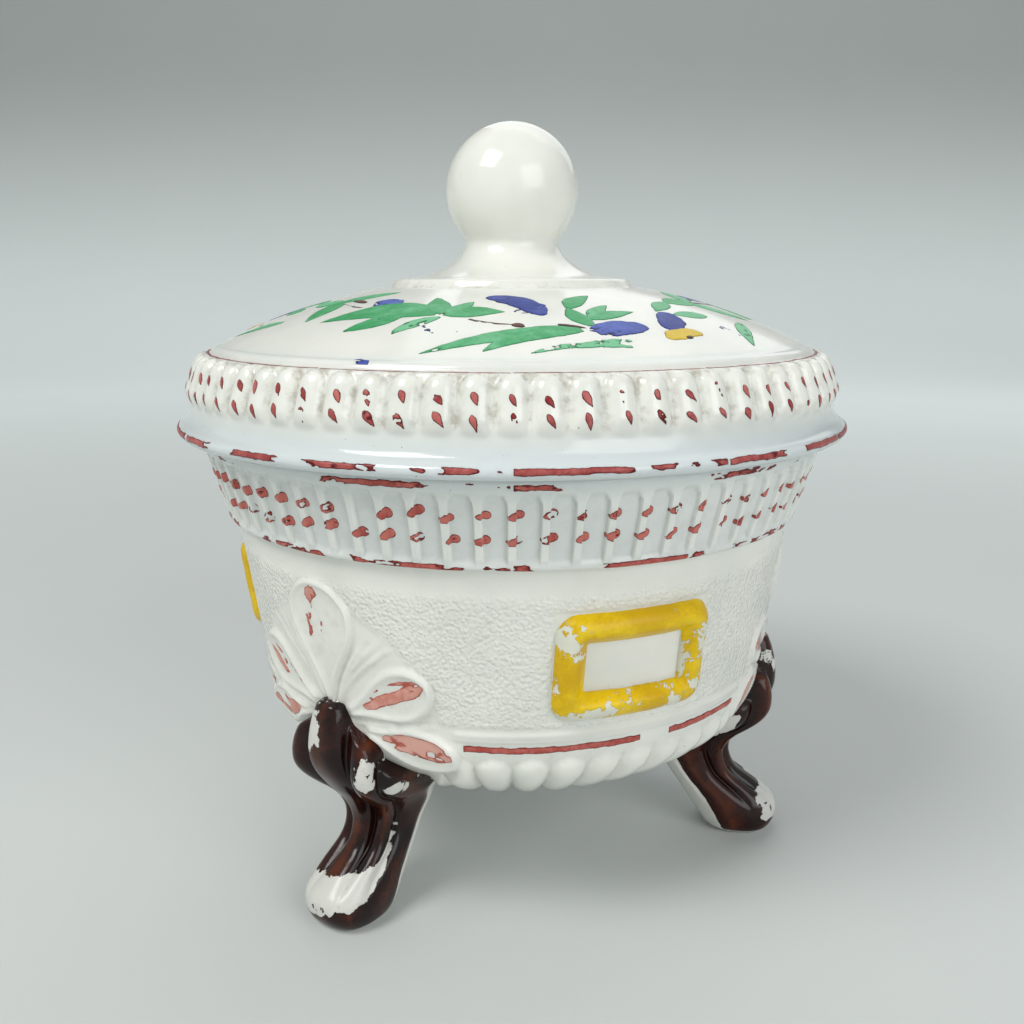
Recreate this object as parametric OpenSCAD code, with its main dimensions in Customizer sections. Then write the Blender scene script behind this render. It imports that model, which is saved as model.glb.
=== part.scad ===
// Covered box of pressed opal glass: a round dish on three cabriole legs and a loose domed lid.
// Millimetres, +Z up. The origin is the centre of the dish on the plane of the soles.

/* [Dish] */
// Height of the dish from the soles to the top of the rim
dish_h = 81; // [74:0.5:90]
// Outer diameter of the rim
rim_d = 114; // [108:0.5:120]
// Thickness of the glass in the wall
wall_t = 4.5; // [3.6:0.1:5.4]
// Height of the ribbed band below the rim
band_h = 14.6; // [12:0.1:17]
// How far the band draws in from the rim to its lower edge
band_taper = 3.9; // [2.5:0.1:5]
// Height of the plain lip above the ribs
lip_h = 2.4; // [1.6:0.1:3.4]
// Height of the plain edge below the ribs
band_foot = 0.9; // [0.5:0.1:1.6]
// Step inwards under the band, down to the wall
ledge = 1.3; // [0.8:0.1:2]
// Diameter of the wall at the belt line
belt_d = 95.2; // [92:0.2:99]
// Height of the belt line above the soles
belt_z = 37.8; // [35:0.1:41]
// How far the belt line stands out of the wall
belt_out = 0.6; // [0.3:0.05:0.9]
// Width of the belt line
belt_w = 1.2; // [0.8:0.1:1.8]
// Clearance between the belt line's end and the palmette beside it
belt_clear = 1; // [0.6:0.1:2]

/* [Rim ribs] */
// Number of ribs round the band
rib_n = 72; // [54:1:80]
// Width of one rib at its foot
rib_w = 1.4; // [1:0.1:2.2]
// How far a rib stands out of the band
rib_out = 0.55; // [0.35:0.05:0.7]

/* [Gadrooned cup] */
// Number of gadroons round the whole cup
gadroon_n = 48; // [39:3:54]
// How far a gadroon stands out of the cup
gadroon_out = 1.3; // [0.8:0.1:1.6]
// Depth of the cup below its top edge
cup_depth = 19; // [16:0.5:22]
// Thickness of the gadrooned layer in its valleys
cup_skin = 0.8; // [0.6:0.1:1.2]
// Diameter of the boss under the cup
boss_d = 24; // [18:0.5:28]
// How far the boss hangs below the cup
boss_h = 6.6; // [4:0.2:8]

/* [Legs] */
// Angle of the first leg from the front of the dish
leg_az = -37.5; // [-60:0.5:60]
// Radius that the toe reaches
toe_reach = 53.6; // [48:0.2:56]
// Radius of the outside of the leg at its waist
waist_reach = 44; // [42:0.2:46]
// Radius that the knee reaches
knee_reach = 52; // [50.4:0.2:54]
// Radius of the heel on the sole
heel_reach = 40; // [37:0.2:42]
// Slope of the back of the leg, inwards for each millimetre up
back_slope = 0.68; // [0.5:0.02:0.8]
// Height of the widest part of the toe
toe_z = 3.2; // [2.4:0.1:4.5]
// How far the sole stays behind the toe
toe_round = 2.2; // [1.2:0.1:3]
// Height of the waist
waist_z = 15; // [12:0.5:18]
// Height of the knee
knee_z = 30.5; // [28:0.5:33]
// Height of the top of the leg
leg_top_z = 41; // [40:0.2:44]
// Width of the sole
sole_w = 10; // [7:0.2:11]
// Width of the toe
toe_w = 13.6; // [11.5:0.2:14]
// Width of the leg at its waist
waist_w = 12.2; // [10:0.2:13]
// Width of the leg at its knee
knee_w = 20; // [17:0.2:21]
// Width of the rounded top of the leg
leg_top_w = 6.4; // [5:0.2:10]
// Number of ridges down the outside of a leg
ridge_n = 5; // [3:2:7]
// Depth of the flutes between the ridges
flute_d = 1.6; // [0.6:0.1:1.8]
// Least height of the leg's top above the wall behind it
leg_cover = 0.6; // [0.4:0.1:1.5]

/* [Palmettes] */
// Clearance between the tip of the upright petal and the band above it
petal_clear = 3; // [2:0.1:6]
// Width of the upright petal
tall_petal_w = 14.6; // [9:0.2:16]
// Length of a side petal
side_petal_l = 13.5; // [9:0.5:14]
// Width of a side petal
side_petal_w = 7.8; // [6:0.2:8.2]
// How far a petal stands out of the wall
petal_out = 1.7; // [1.1:0.1:2.2]
// Clearance between the leg and the petals beside it
petal_gap = 1.4; // [1.2:0.1:2.4]

/* [Buckles] */
// Width of a buckle
buckle_w = 26.5; // [22:0.5:28]
// Height of a buckle
buckle_h = 18.5; // [13:0.5:20]
// Width of the bars of a buckle
buckle_bar = 4.9; // [3:0.1:6]
// How far a buckle stands out of the wall
buckle_out = 2.4; // [1.6:0.1:3]
// Radius of the outer corners of a buckle
buckle_corner = 3.2; // [1:0.1:4]
// Height of the middle of a buckle above the soles
buckle_z = 49.8; // [47:0.2:53]

/* [Lid] */
// Outer diameter of the lid
lid_d = 122; // [118:0.5:126]
// Thickness of the glass of the lid
lid_t = 4; // [3.4:0.1:4.6]
// Thickness of the outer edge
edge_t = 2.4; // [2:0.1:3]
// Height of the plain flare below the reeds
flare_h = 4.2; // [3:0.1:5]
// How far the flare draws in from the outer edge
flare_in = 2.6; // [2:0.1:3.2]
// Height of the reeded band
reed_h = 7.4; // [6:0.1:9]
// How far the reeded band draws in
reed_taper = 2.6; // [1.5:0.1:3.5]
// Width of the shelf inside the reeds
shelf_w = 1.2; // [0.8:0.1:1.6]
// Radius of the rolled ridge round the dome
ridge_r = 1.3; // [1:0.1:1.6]
// Rise of the dome above its edge
dome_rise = 12; // [9:0.5:15]
// Depth of the locating ring inside the rim
lip_drop = 3; // [2:0.1:4]
// Thickness of the locating ring
lip_t = 3.2; // [2.6:0.1:3.8]
// Clearance between the locating ring and the rim
lid_clear = 0.6; // [0.4:0.05:0.9]

/* [Lid reeds] */
// Number of reeds round the lid
reed_n = 72; // [60:1:76]
// Width of one reed
reed_w = 3.9; // [3.2:0.1:4.2]
// How far a reed stands out of the band
reed_out = 1.2; // [0.8:0.1:1.5]

/* [Knob] */
// Diameter of the foot of the knob
knob_foot_d = 44; // [36:0.5:46]
// Thickness of the foot at its edge
knob_foot_t = 1.2; // [0.8:0.1:1.8]
// Diameter of the neck
neck_d = 17; // [13:0.5:20]
// Height of the neck above the foot
neck_h = 7; // [5:0.5:9]
// Diameter of the ball
ball_d = 24; // [22:0.5:28]

/* [Enamel] */
// Thickness of the enamel colours
enamel_t = 0.2; // [0.1:0.05:0.3]
// Gap that keeps each layer clear of the glass below it
seat_gap = 0.05; // [0.03:0.01:0.1]
// Width of the painted lines
line_w = 1; // [0.6:0.1:1.2]
// Number of flower sprays round the lid
spray_n = 3; // [2:1:3]
// Angle of the first spray from the front
spray_az = -10; // [-60:1:60]
// Radius of the ring that the sprays lie on, as a share of the dome's radius
spray_share = 0.71; // [0.67:0.01:0.73]

/* [Hidden] */
$fn = 120;

opal = "#e6ebe8";
red = "#a8433c";
brown = "#3a1a10";
yellow = "#e2c21a";
green = "#3fa568";
blue = "#35479c";

rim_r = rim_d / 2;
belt_r = belt_d / 2;
neck_z = dish_h - band_h;
neck_r = rim_r - band_taper - ledge;
cup_top_z = belt_z - belt_w;
rim_in_r = rim_r - wall_t;
edge_round = 0.8;
third = 120;

lid_r = lid_d / 2;
reed_foot_r = lid_r - flare_in;
reed_foot_z = edge_t + flare_h;
shelf_z = reed_foot_z + reed_h;
shelf_r = reed_foot_r - reed_taper;
dome_edge_r = shelf_r - shelf_w - ridge_r;
dome_edge_z = shelf_z + ridge_r;
dome_r = (dome_edge_r * dome_edge_r + dome_rise * dome_rise) / (2 * dome_rise);
dome_c = dome_edge_z + dome_rise - dome_r;
knob_foot_r = knob_foot_d / 2;
seat_z = dome_c + sqrt(dome_r * dome_r - knob_foot_r * knob_foot_r);
spray_r = spray_share * dome_edge_r;
fork_z = leg_top_z + 1;
tall_petal_l = neck_z - petal_clear - fork_z;
wing_z = fork_z - 5;
wing_tilt = 106;

// Radius of the ribbed band's outer face at height z
function band_r(z) = rim_r - band_taper * (dish_h - edge_round - z) / (band_h - edge_round);

// Radius of the wall at height z, between the band and the cup
function wall_r(z) = belt_r + (neck_r - belt_r) * (z - belt_z) / (neck_z - belt_z);

// Radius of the cup's valleys at its top edge
cup_r = wall_r(cup_top_z);

// Angle of leg k from the front, counting the first leg again as leg 3
function leg_angle(k) = k < 3 ? leg_az + k * third : leg_az + 360;

// Angle midway between leg k and the next
function gap_angle(k) = (leg_angle(k) + leg_angle(k + 1)) / 2;

// Width of a leg at height z
function leg_width(z) = eased(z, [
    [0, sole_w], [toe_z, toe_w], [waist_z, waist_w], [knee_z + toe_round, knee_w], [leg_top_z, leg_top_w]
]);

// Distance of a low petal's root from the middle of its leg
wing = leg_width(wing_z - 1) / 2 + petal_gap + 0.5;

// Angle that a palmette takes up on either side of its leg
palmette_angle = (wing + side_petal_l * sin(wing_tilt) + belt_clear) / cup_r * 180 / PI;

// Angle of the belt line between leg k and the next
function belt_arc(k) = leg_angle(k + 1) - leg_angle(k) - 2 * palmette_angle;

// Radius of the inside of the band at height z
function band_in_r(z) =
    rim_in_r - (rim_in_r - neck_r + wall_t) * (dish_h - edge_round - z) / (band_h - edge_round);

// Outside and inside of the lid's locating ring
lip_r = band_in_r(dish_h - lip_drop) - lid_clear;
hollow_r = lip_r - lip_t;

// Point [radius, height] of the cup at angle a below its top edge, moved out by d
function cup_point(a, d) =
    let (n = sqrt(pow(cup_depth * cos(a), 2) + pow(cup_r * sin(a), 2)))
    [
        cup_r * cos(a) + d * cup_depth * cos(a) / n,
        cup_top_z - cup_depth * sin(a) - d * cup_r * sin(a) / n
    ];

// Radius of the plain surface of the dish at height z, on the wall or on the cup
function dish_r(z) =
    z >= cup_top_z ? wall_r(z) : cup_r * sqrt(1 - pow((cup_top_z - z) / cup_depth, 2));

// Smooth value at x through a list of [place, value] pairs, level at each pair
function eased(x, keys, i = 0) =
    i >= len(keys) - 1 || x <= keys[0][0] ? keys[min(i, len(keys) - 1)][1]
    : x > keys[i + 1][0] ? eased(x, keys, i + 1)
    : let (t = (x - keys[i][0]) / (keys[i + 1][0] - keys[i][0]))
      keys[i][1] + (keys[i + 1][1] - keys[i][1]) * t * t * (3 - 2 * t);

// Ring of faces between rows of m points that close on themselves
function sleeve_faces(rows, m) = [
    for (k = [0:rows - 2]) for (i = [0:m - 1])
        let (j = (i + 1) % m, a = k * m + i, b = k * m + j)
        each [[a, a + m, b], [b, a + m, b + m]]
];

// Turns a feature drawn along +X to the angle az from the front of the dish
module at(az) {
    rotate([0, 0, az - 90]) children();
}

// Solid of revolution below the dish's plain surface, grown by d
module dish_core(d, top_z) {
    steps = 16;
    rotate_extrude()
        polygon([
            for (i = [0:steps]) let (p = cup_point(90 - 90 * i / steps, d)) [max(p[0], 0), p[1]],
            [wall_r(top_z) + d, top_z],
            [0, top_z]
        ]);
}

// Bars laid along a cone, from its foot to its head, standing out of it
module cone_bars(n, foot, head, w, out, round_head = false) {
    bar_r = (w * w / 4 + out * out) / (2 * out);
    run = [head[0] - foot[0], head[1] - foot[1]];
    for (i = [0:n - 1])
        rotate([0, 0, i * 360 / n])
            translate([foot[0] + out - bar_r, 0, foot[1]])
                rotate([0, atan2(run[0], run[1]), 0]) {
                    cylinder(r = bar_r, h = norm(run), $fn = 48);
                    if (round_head)
                        translate([0, 0, norm(run)]) sphere(r = bar_r, $fn = 48);
                }
}

module bowl() {
    steps = 16;
    lip_z = dish_h - lip_h;
    foot_z = neck_z + band_foot;
    floor_d = cup_skin + seat_gap;
    color(opal)
        union() {
            rotate_extrude()
                polygon([
                    for (i = [0:steps])
                        let (p = cup_point(90 - 90 * i / steps, -wall_t)) [max(p[0], 0), p[1]],
                    [wall_r(belt_z) - wall_t, belt_z],
                    [neck_r - wall_t, neck_z],
                    [rim_in_r, dish_h - edge_round],
                    [rim_in_r + edge_round, dish_h],
                    [rim_r - edge_round, dish_h],
                    [rim_r, dish_h - edge_round],
                    [band_r(lip_z), lip_z],
                    [band_r(lip_z - rib_out) - rib_out, lip_z - rib_out],
                    [band_r(foot_z + rib_out) - rib_out, foot_z + rib_out],
                    [band_r(foot_z), foot_z],
                    [band_r(neck_z), neck_z],
                    [neck_r, neck_z],
                    [cup_r, cup_top_z],
                    for (i = [0:steps])
                        let (p = cup_point(90 * i / steps, -floor_d)) [max(p[0], 0), p[1]]
                ]);
            for (k = [0:2])
                at(gap_angle(k))
                    rotate([0, 0, -belt_arc(k) / 2])
                        rotate_extrude(angle = belt_arc(k))
                            polygon([
                                [wall_r(belt_z) - belt_out, belt_z - belt_w / 2],
                                [wall_r(belt_z - belt_w / 2), belt_z - belt_w / 2],
                                [wall_r(belt_z) + belt_out, belt_z],
                                [wall_r(belt_z + belt_w / 2), belt_z + belt_w / 2],
                                [wall_r(belt_z) - belt_out, belt_z + belt_w / 2]
                            ]);
        }
}

// Share of a gadroon's full height at column i and angle a below the edge: none beside the legs
function gadroon_share(i, m, a) =
    let (
        az = i * 360 / m + 90,
        off = min([for (k = [0:2]) abs((az - leg_angle(k) + 900) % 360 - 180)]),
        clear = eased(a, [[22, palmette_angle - 1.2], [46, knee_w * 0.72]])
    )
    eased(off, [[clear, 0], [clear + 4.5, 1]]);

// Angle below the cup's edge at which the gadroons run out beside the boss
gadroon_end = acos(boss_d * 0.47 / cup_r);

module gadrooned_cup() {
    samples = 4;
    m = gadroon_n * samples;
    rings = 10;
    round_top = [0, sqrt(3) / 2, 1, sqrt(3) / 2];
    function swell(i, a) =
        gadroon_out * round_top[i % samples] * gadroon_share(i, m, a)
        * eased(a, [[6, 0], [16, 1], [gadroon_end - 20, 0.75], [gadroon_end, 0]]);
    function ring_point(i, p) = let (a = i * 360 / m) [p[0] * cos(a), p[0] * sin(a), p[1]];
    points = [
        for (k = [0:rings]) let (a = gadroon_end * k / rings) for (i = [0:m - 1])
            ring_point(i, cup_point(a, swell(i, a))),
        [0, 0, cup_top_z - cup_depth]
    ];
    end = (rings + 1) * m;
    color(opal)
        difference() {
            polyhedron(
                points,
                concat(
                    [[for (i = [0:m - 1]) i]],
                    sleeve_faces(rings + 1, m),
                    [for (i = [0:m - 1]) [end - m + i, end, end - m + (i + 1) % m]]
                )
            );
            dish_core(-cup_skin, cup_top_z + wall_t);
        }
}

module base_boss() {
    boss_r = boss_d / 2;
    waist_r = boss_r * 0.92;
    top_z = cup_top_z - cup_depth - seat_gap;
    edge = cup_point(gadroon_end, 0);
    rise = (edge[1] - cup_top_z + cup_depth) * waist_r / edge[0];
    mid_z = top_z - 0.36 * boss_h;
    from = -acos(waist_r / boss_r);
    steps = 12;
    color(opal)
        rotate_extrude()
            polygon([
                [0, top_z],
                [waist_r, top_z + rise],
                for (i = [0:steps]) let (a = from + (90 - from) * i / steps)
                    [i == steps ? 0 : boss_r * cos(a), mid_z - 0.64 * boss_h * sin(a)]
            ]);
}

module rim_ribs() {
    lip_z = dish_h - lip_h;
    foot_z = neck_z + band_foot;
    low = foot_z + 1.4 * rib_out + seat_gap;
    high = lip_z - rib_out - seat_gap;
    ground = rib_out - seat_gap;
    color(opal)
        difference() {
            cone_bars(
                rib_n, [band_r(low) - rib_out, low], [band_r(high) - rib_out, high], rib_w, rib_out
            );
            translate([0, 0, neck_z])
                cylinder(
                    r1 = band_r(neck_z) - ground, r2 = rim_r - ground, h = band_h - edge_round,
                    $fn = 720
                );
        }
}

// Cabriole leg drawn along +X: level slices from the sole to the top of the knee
module leg() {
    m = 44;
    rows = 16;
    fan = 115;
    back_r = heel_reach - back_slope * leg_top_z;
    reach = [
        [0, toe_reach - toe_round], [toe_z, toe_reach], [waist_z, waist_reach], [knee_z, knee_reach],
        [leg_top_z, wall_r(leg_top_z) + leg_cover]
    ];
    depth = [[0, 0.1], [waist_z, 0.65], [knee_z, 1], [leg_top_z, 0.6]];
    function squared(v) = sign(v) * pow(abs(v), 0.75);
    function flute(t, z) =
        abs(t) > fan ? 0
        : flute_d * eased(z, depth) * (cos(ridge_n * 180 * t / fan) - 1) / 2 * sqrt(cos(t * 90 / fan));
    function slice_z(k) = leg_top_z * k / rows;
    points = [
        for (k = [0:rows]) let (
            z = slice_z(k),
            out = max(eased(z, reach), z < knee_z ? 0 : dish_r(z) + leg_cover),
            back = heel_reach + (back_r - heel_reach) * z / leg_top_z,
            half = (out - back) / 2,
            side = leg_width(z) / 2
        )
        for (i = [0:m - 1]) let (t = i * 360 / m - 180, f = flute(t, z))
            [
                (out + back) / 2 + half * squared(cos(t)) + f * cos(t),
                side * squared(sin(t)) + f * sin(t),
                z
            ]
    ];
    color(brown)
        difference() {
            polyhedron(
                points,
                concat(
                    [[for (i = [0:m - 1]) i]],
                    sleeve_faces(rows + 1, m),
                    [[for (i = [m - 1:-1:0]) rows * m + i]]
                )
            );
            dish_core(seat_gap * 2, leg_top_z + wall_t);
        }
}

module leg_left() {
    at(leg_angle(0)) leg();
}

module leg_right() {
    at(leg_angle(1)) leg();
}

module leg_back() {
    at(leg_angle(2)) leg();
}

// Petal on the wall above the leg at +X, from root [side, height] along the angle tilt from upright
module petal(root, tilt, l, w) {
    rows = 9;
    cols = 6;
    edge = 0.25;
    widest = 0.64;
    function half_w(s) = w / 2 * (
        s < widest ? 0.3 + 0.7 * sin(90 * s / widest)
        : sqrt(1.02 - pow((s - widest) / (1 - widest), 2))
    );
    function swell(s, t) =
        edge + (petal_out - edge) * sqrt(max(0, 1 - t * t)) * eased(s, [[0, 0.55], [0.6, 1], [1, 0.25]]);
    function place(s, t) = let (a = s * l, b = t * half_w(s))
        [root[0] + a * sin(tilt) + b * cos(tilt), root[1] + a * cos(tilt) - b * sin(tilt)];
    function on_dish(p, d) = let (r = dish_r(p[1]) + d, az = p[0] / r * 180 / PI)
        [r * cos(az), r * sin(az), p[1]];
    m = 2 * (cols + 1);
    points = [
        for (k = [0:rows]) let (s = 1 - pow(1 - k / rows, 1.5))
            each [
                for (i = [0:cols]) let (t = 2 * i / cols - 1) on_dish(place(s, t), 2 * seat_gap),
                for (i = [cols:-1:0]) let (t = 2 * i / cols - 1)
                    on_dish(place(s, t), 2 * seat_gap + swell(s, t))
            ]
    ];
    function cap(k) = [for (i = [0:cols - 1]) each [
        [k * m + i, k * m + i + 1, k * m + m - 1 - i],
        [k * m + i + 1, k * m + m - 2 - i, k * m + m - 1 - i]
    ]];
    polyhedron(
        points,
        concat(
            [for (f = sleeve_faces(rows + 1, m)) [f[2], f[1], f[0]]],
            [for (f = cap(0)) [f[2], f[1], f[0]]],
            cap(rows)
        )
    );
}

module palmette() {
    side = leg_top_w / 2 + petal_gap + 0.8;
    color(opal) {
        petal([0, fork_z], 0, tall_petal_l, tall_petal_w);
        for (s = [-1, 1]) {
            petal([s * side, fork_z - 0.4], s * 60, side_petal_l, side_petal_w);
            petal([s * wing, wing_z], s * wing_tilt, side_petal_l, side_petal_w);
        }
    }
}

module palmette_left() {
    at(leg_angle(0)) palmette();
}

module palmette_right() {
    at(leg_angle(1)) palmette();
}

module palmette_back() {
    at(leg_angle(2)) palmette();
}

// Outline of a rectangle with round corners, centred
module round_rectangle(w, h, r) {
    square([w - 2 * r, h], center = true);
    square([w, h - 2 * r], center = true);
    for (x = [-1, 1]) for (y = [-1, 1])
        translate([x * (w / 2 - r), y * (h / 2 - r)]) circle(r = r);
}

// Buckle drawn on the wall at +X: a frame that follows the wall's cone
module buckle() {
    low = buckle_z - buckle_h;
    high = buckle_z + buckle_h;
    color(yellow)
        intersection() {
            translate([0, 0, buckle_z])
                rotate([90, 0, 90])
                    linear_extrude(height = rim_r)
                        difference() {
                            round_rectangle(buckle_w, buckle_h, buckle_corner);
                            square(
                                [buckle_w - 2 * buckle_bar, buckle_h - 2 * buckle_bar], center = true
                            );
                        }
            rotate_extrude()
                polygon([
                    [wall_r(low) + seat_gap, low],
                    [wall_r(low) + buckle_out, low],
                    [wall_r(high) + buckle_out, high],
                    [wall_r(high) + seat_gap, high]
                ]);
        }
}

module buckle_front() {
    at(gap_angle(0)) buckle();
}

module buckle_back() {
    at(gap_angle(1)) buckle();
}

module buckle_left() {
    at(gap_angle(2)) buckle();
}

// Band of enamel on a cone of revolution between two [radius, height] places
module enamel_band(low, high) {
    polygon([
        [low[0] + seat_gap, low[1]],
        [low[0] + seat_gap + enamel_t, low[1]],
        [high[0] + seat_gap + enamel_t, high[1]],
        [high[0] + seat_gap, high[1]]
    ]);
}

module rim_red_lines() {
    lip_low = dish_h - edge_round - line_w;
    lip_high = dish_h - edge_round;
    foot_low = neck_z + seat_gap;
    foot_high = neck_z + band_foot - seat_gap;
    color(red)
        rotate_extrude() {
            enamel_band([band_r(lip_low), lip_low], [rim_r, lip_high]);
            enamel_band([band_r(foot_low), foot_low], [band_r(foot_high), foot_high]);
        }
}

module belt_red_lines() {
    low = cup_top_z - line_w;
    color(red)
        for (k = [0:2])
            at(gap_angle(k))
                rotate([0, 0, -belt_arc(k) / 2])
                    rotate_extrude(angle = belt_arc(k))
                        enamel_band([cup_r, low], [cup_r, cup_top_z - seat_gap]);
}

// Half outline of the lid, with its underside on the rim at height 0
module lid_outline() {
    rest_r = lid_r - edge_round;
    flare_top = [reed_foot_r, reed_foot_z];
    flare_steps = 6;
    difference() {
        union() {
            polygon([
                [hollow_r, 0],
                [rest_r, 0],
                [lid_r, edge_round],
                [lid_r, edge_t - edge_round],
                for (i = [0:flare_steps]) let (a = 90 * i / flare_steps)
                    [
                        flare_top[0] + (rest_r - flare_top[0]) * (1 - sin(a)),
                        edge_t + flare_h * (1 - cos(a))
                    ],
                [shelf_r, shelf_z],
                [dome_edge_r, shelf_z],
                [dome_edge_r, dome_edge_z],
                [0, dome_edge_z + dome_rise],
                [0, 0]
            ]);
            intersection() {
                translate([0, dome_c]) circle(r = dome_r);
                translate([0, shelf_z]) square([dome_edge_r, dome_rise + ridge_r]);
            }
            translate([dome_edge_r, shelf_z]) intersection() {
                circle(r = ridge_r);
                translate([-ridge_r, 0]) square(2 * ridge_r);
            }
            translate([hollow_r, -lip_drop]) square([lip_t, lip_drop + edge_t]);
        }
        intersection() {
            translate([0, dome_c]) circle(r = dome_r - lid_t);
            translate([0, 0]) square([hollow_r, dome_edge_z + dome_rise]);
        }
        translate([0, seat_z]) square([dome_edge_r, dome_rise]);
    }
}

module lid_cover() {
    color(opal)
        translate([0, 0, dish_h])
            rotate_extrude() lid_outline();
}

module lid_reeds() {
    ground = [reed_foot_r, reed_foot_z];
    run = [shelf_r - reed_foot_r, reed_h];
    head_r = (reed_w * reed_w / 4 + reed_out * reed_out) / (2 * reed_out);
    low = 0.04;
    high = 1 - (head_r + seat_gap) / reed_h;
    below = 0.3;
    color(opal)
        translate([0, 0, dish_h])
            difference() {
                cone_bars(reed_n, ground + low * run, ground + high * run, reed_w, reed_out, true);
                translate([0, 0, reed_foot_z - below * reed_h])
                    cylinder(
                        r1 = reed_foot_r + below * reed_taper + seat_gap, r2 = shelf_r + seat_gap,
                        h = (1 + below) * reed_h, $fn = 720
                    );
            }
}

module lid_knob() {
    neck_r = neck_d / 2;
    ball_r = ball_d / 2;
    foot_round = knob_foot_r - neck_r;
    ball_z = knob_foot_t + neck_h + sqrt(ball_r * ball_r - neck_r * neck_r);
    color(opal)
        translate([0, 0, dish_h + seat_z])
            rotate_extrude() {
                square([knob_foot_r, knob_foot_t]);
                difference() {
                    square([knob_foot_r, knob_foot_t + neck_h]);
                    translate([knob_foot_r, knob_foot_t + neck_h])
                        intersection() {
                            circle(r = foot_round);
                            translate([-foot_round, -neck_h]) square([foot_round, neck_h]);
                        }
                }
                intersection() {
                    translate([0, ball_z]) circle(r = ball_r);
                    translate([0, knob_foot_t]) square([ball_r, ball_z + ball_r]);
                }
            }
}

module lid_red_lines() {
    shelf_mid = shelf_r - shelf_w / 2;
    half = line_w / 4;
    color(red)
        translate([0, 0, dish_h])
            rotate_extrude() {
                enamel_band([lid_r, edge_round], [lid_r, edge_t - edge_round]);
                translate([shelf_mid - half, shelf_z + seat_gap]) square([2 * half, enamel_t]);
            }
}

// Hundredth of the dome's radius, the unit of the painted sprays
u = dome_edge_r / 100;

// Leaf outline between two round sides, from the origin along +X
module leaf(l, w) {
    r = (l * l / 4 + w * w / 4) / w;
    scale(u)
        intersection() {
            translate([l / 2, r - w / 2]) circle(r = r);
            translate([l / 2, w / 2 - r]) circle(r = r);
        }
}

// Round spot of paint
module spot(r) {
    circle(r = r * u);
}

// Places what is drawn flat on every spray: along and out of its ring, turned by tilt
module on_sprays(along, out, tilt) {
    for (i = [0:spray_n - 1])
        at(spray_az + i * 360 / spray_n + along)
            translate([spray_r + out * u, 0])
                rotate([0, 0, 90 + tilt]) children();
}

// Lays flat outlines on the dome as a coat of enamel
module on_dome() {
    coat_r = dome_r + seat_gap;
    translate([0, 0, dish_h + dome_c])
        intersection() {
            difference() {
                sphere(r = coat_r + enamel_t);
                sphere(r = coat_r);
            }
            linear_extrude(height = 2 * dome_r) children();
        }
}

module lid_green_leaves() {
    color(green)
        on_dome() {
            on_sprays(2, 0, 150) leaf(17, 7.5);
            on_sprays(-3, -6.5, 195) leaf(19, 6.8);
            on_sprays(-9, 2, 178) leaf(32, 12);
            on_sprays(-4, 7.5, 165) leaf(17, 5.6);
            on_sprays(36, 2, 20) leaf(19, 6.8);
            on_sprays(35, 11, -165) leaf(37, 7.5);
            on_sprays(36, 17, -172) leaf(24, 4.5);
            on_sprays(56, 0, 15) leaf(21, 6.4);
            on_sprays(51, 10, 0) leaf(22, 5.6);
        }
}

module lid_blue_fruits() {
    color(blue)
        on_dome() {
            on_sprays(16, -6.8, 0) spot(6.2);
            on_sprays(23, -1.9, 0) spot(5.6);
            on_sprays(40, 11, 0) spot(6);
            on_sprays(-28, -8, 0) spot(4.5);
            on_sprays(-21.5, -8.6, 0) spot(5.2);
        }
}

module lid_yellow_flowers() {
    color(yellow)
        on_dome()
            on_sprays(48, 19, 0) spot(4.5);
}

module lid_brown_stems() {
    color(brown)
        on_dome() {
            on_sprays(11, 5, 190) leaf(11, 1.9);
            on_sprays(29, 8, 210) leaf(7.5, 1.9);
            on_sprays(-45, -7.5, 10) leaf(13, 2.2);
        }
}

bowl();
gadrooned_cup();
base_boss();
rim_ribs();
leg_left();
leg_right();
leg_back();
palmette_left();
palmette_right();
palmette_back();
buckle_front();
buckle_back();
buckle_left();
rim_red_lines();
belt_red_lines();
lid_cover();
lid_reeds();
lid_knob();
lid_red_lines();
lid_green_leaves();
lid_blue_fruits();
lid_yellow_flowers();
lid_brown_stems();
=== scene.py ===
"""Looks of a round covered box of pressed opal glass on three legs, with a loose painted lid."""

import logging
import math
from dataclasses import dataclass, field
from enum import Enum
from typing import Any, Callable, Iterable, Sequence

import bpy
import numpy as np
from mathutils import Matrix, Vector


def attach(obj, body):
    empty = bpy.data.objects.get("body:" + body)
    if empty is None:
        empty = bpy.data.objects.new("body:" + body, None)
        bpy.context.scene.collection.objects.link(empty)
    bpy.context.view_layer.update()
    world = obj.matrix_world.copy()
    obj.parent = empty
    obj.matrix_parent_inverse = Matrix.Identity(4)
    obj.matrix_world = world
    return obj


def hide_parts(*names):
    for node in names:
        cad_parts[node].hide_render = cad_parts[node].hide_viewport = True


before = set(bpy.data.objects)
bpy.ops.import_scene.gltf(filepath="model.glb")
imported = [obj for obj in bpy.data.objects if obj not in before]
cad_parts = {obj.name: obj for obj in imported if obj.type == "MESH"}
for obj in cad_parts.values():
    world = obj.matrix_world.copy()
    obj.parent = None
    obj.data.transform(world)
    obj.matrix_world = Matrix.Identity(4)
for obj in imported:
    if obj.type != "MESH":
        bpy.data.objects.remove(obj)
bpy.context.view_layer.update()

LOG = logging.getLogger("opal_box")
MM = 0.001
SEEDS = 1 << 30
Array = np.ndarray
Pair = tuple[float, float]
Triple = tuple[float, float, float]
Rows = tuple[tuple[float, ...], ...]
Colour = tuple[float, float, float, float]
BLACK: Colour = (0.0, 0.0, 0.0, 1.0)


class Body(Enum):
    """The two bodies that pieces ride on."""

    DISH = "dish"
    LID = "lid"


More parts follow.
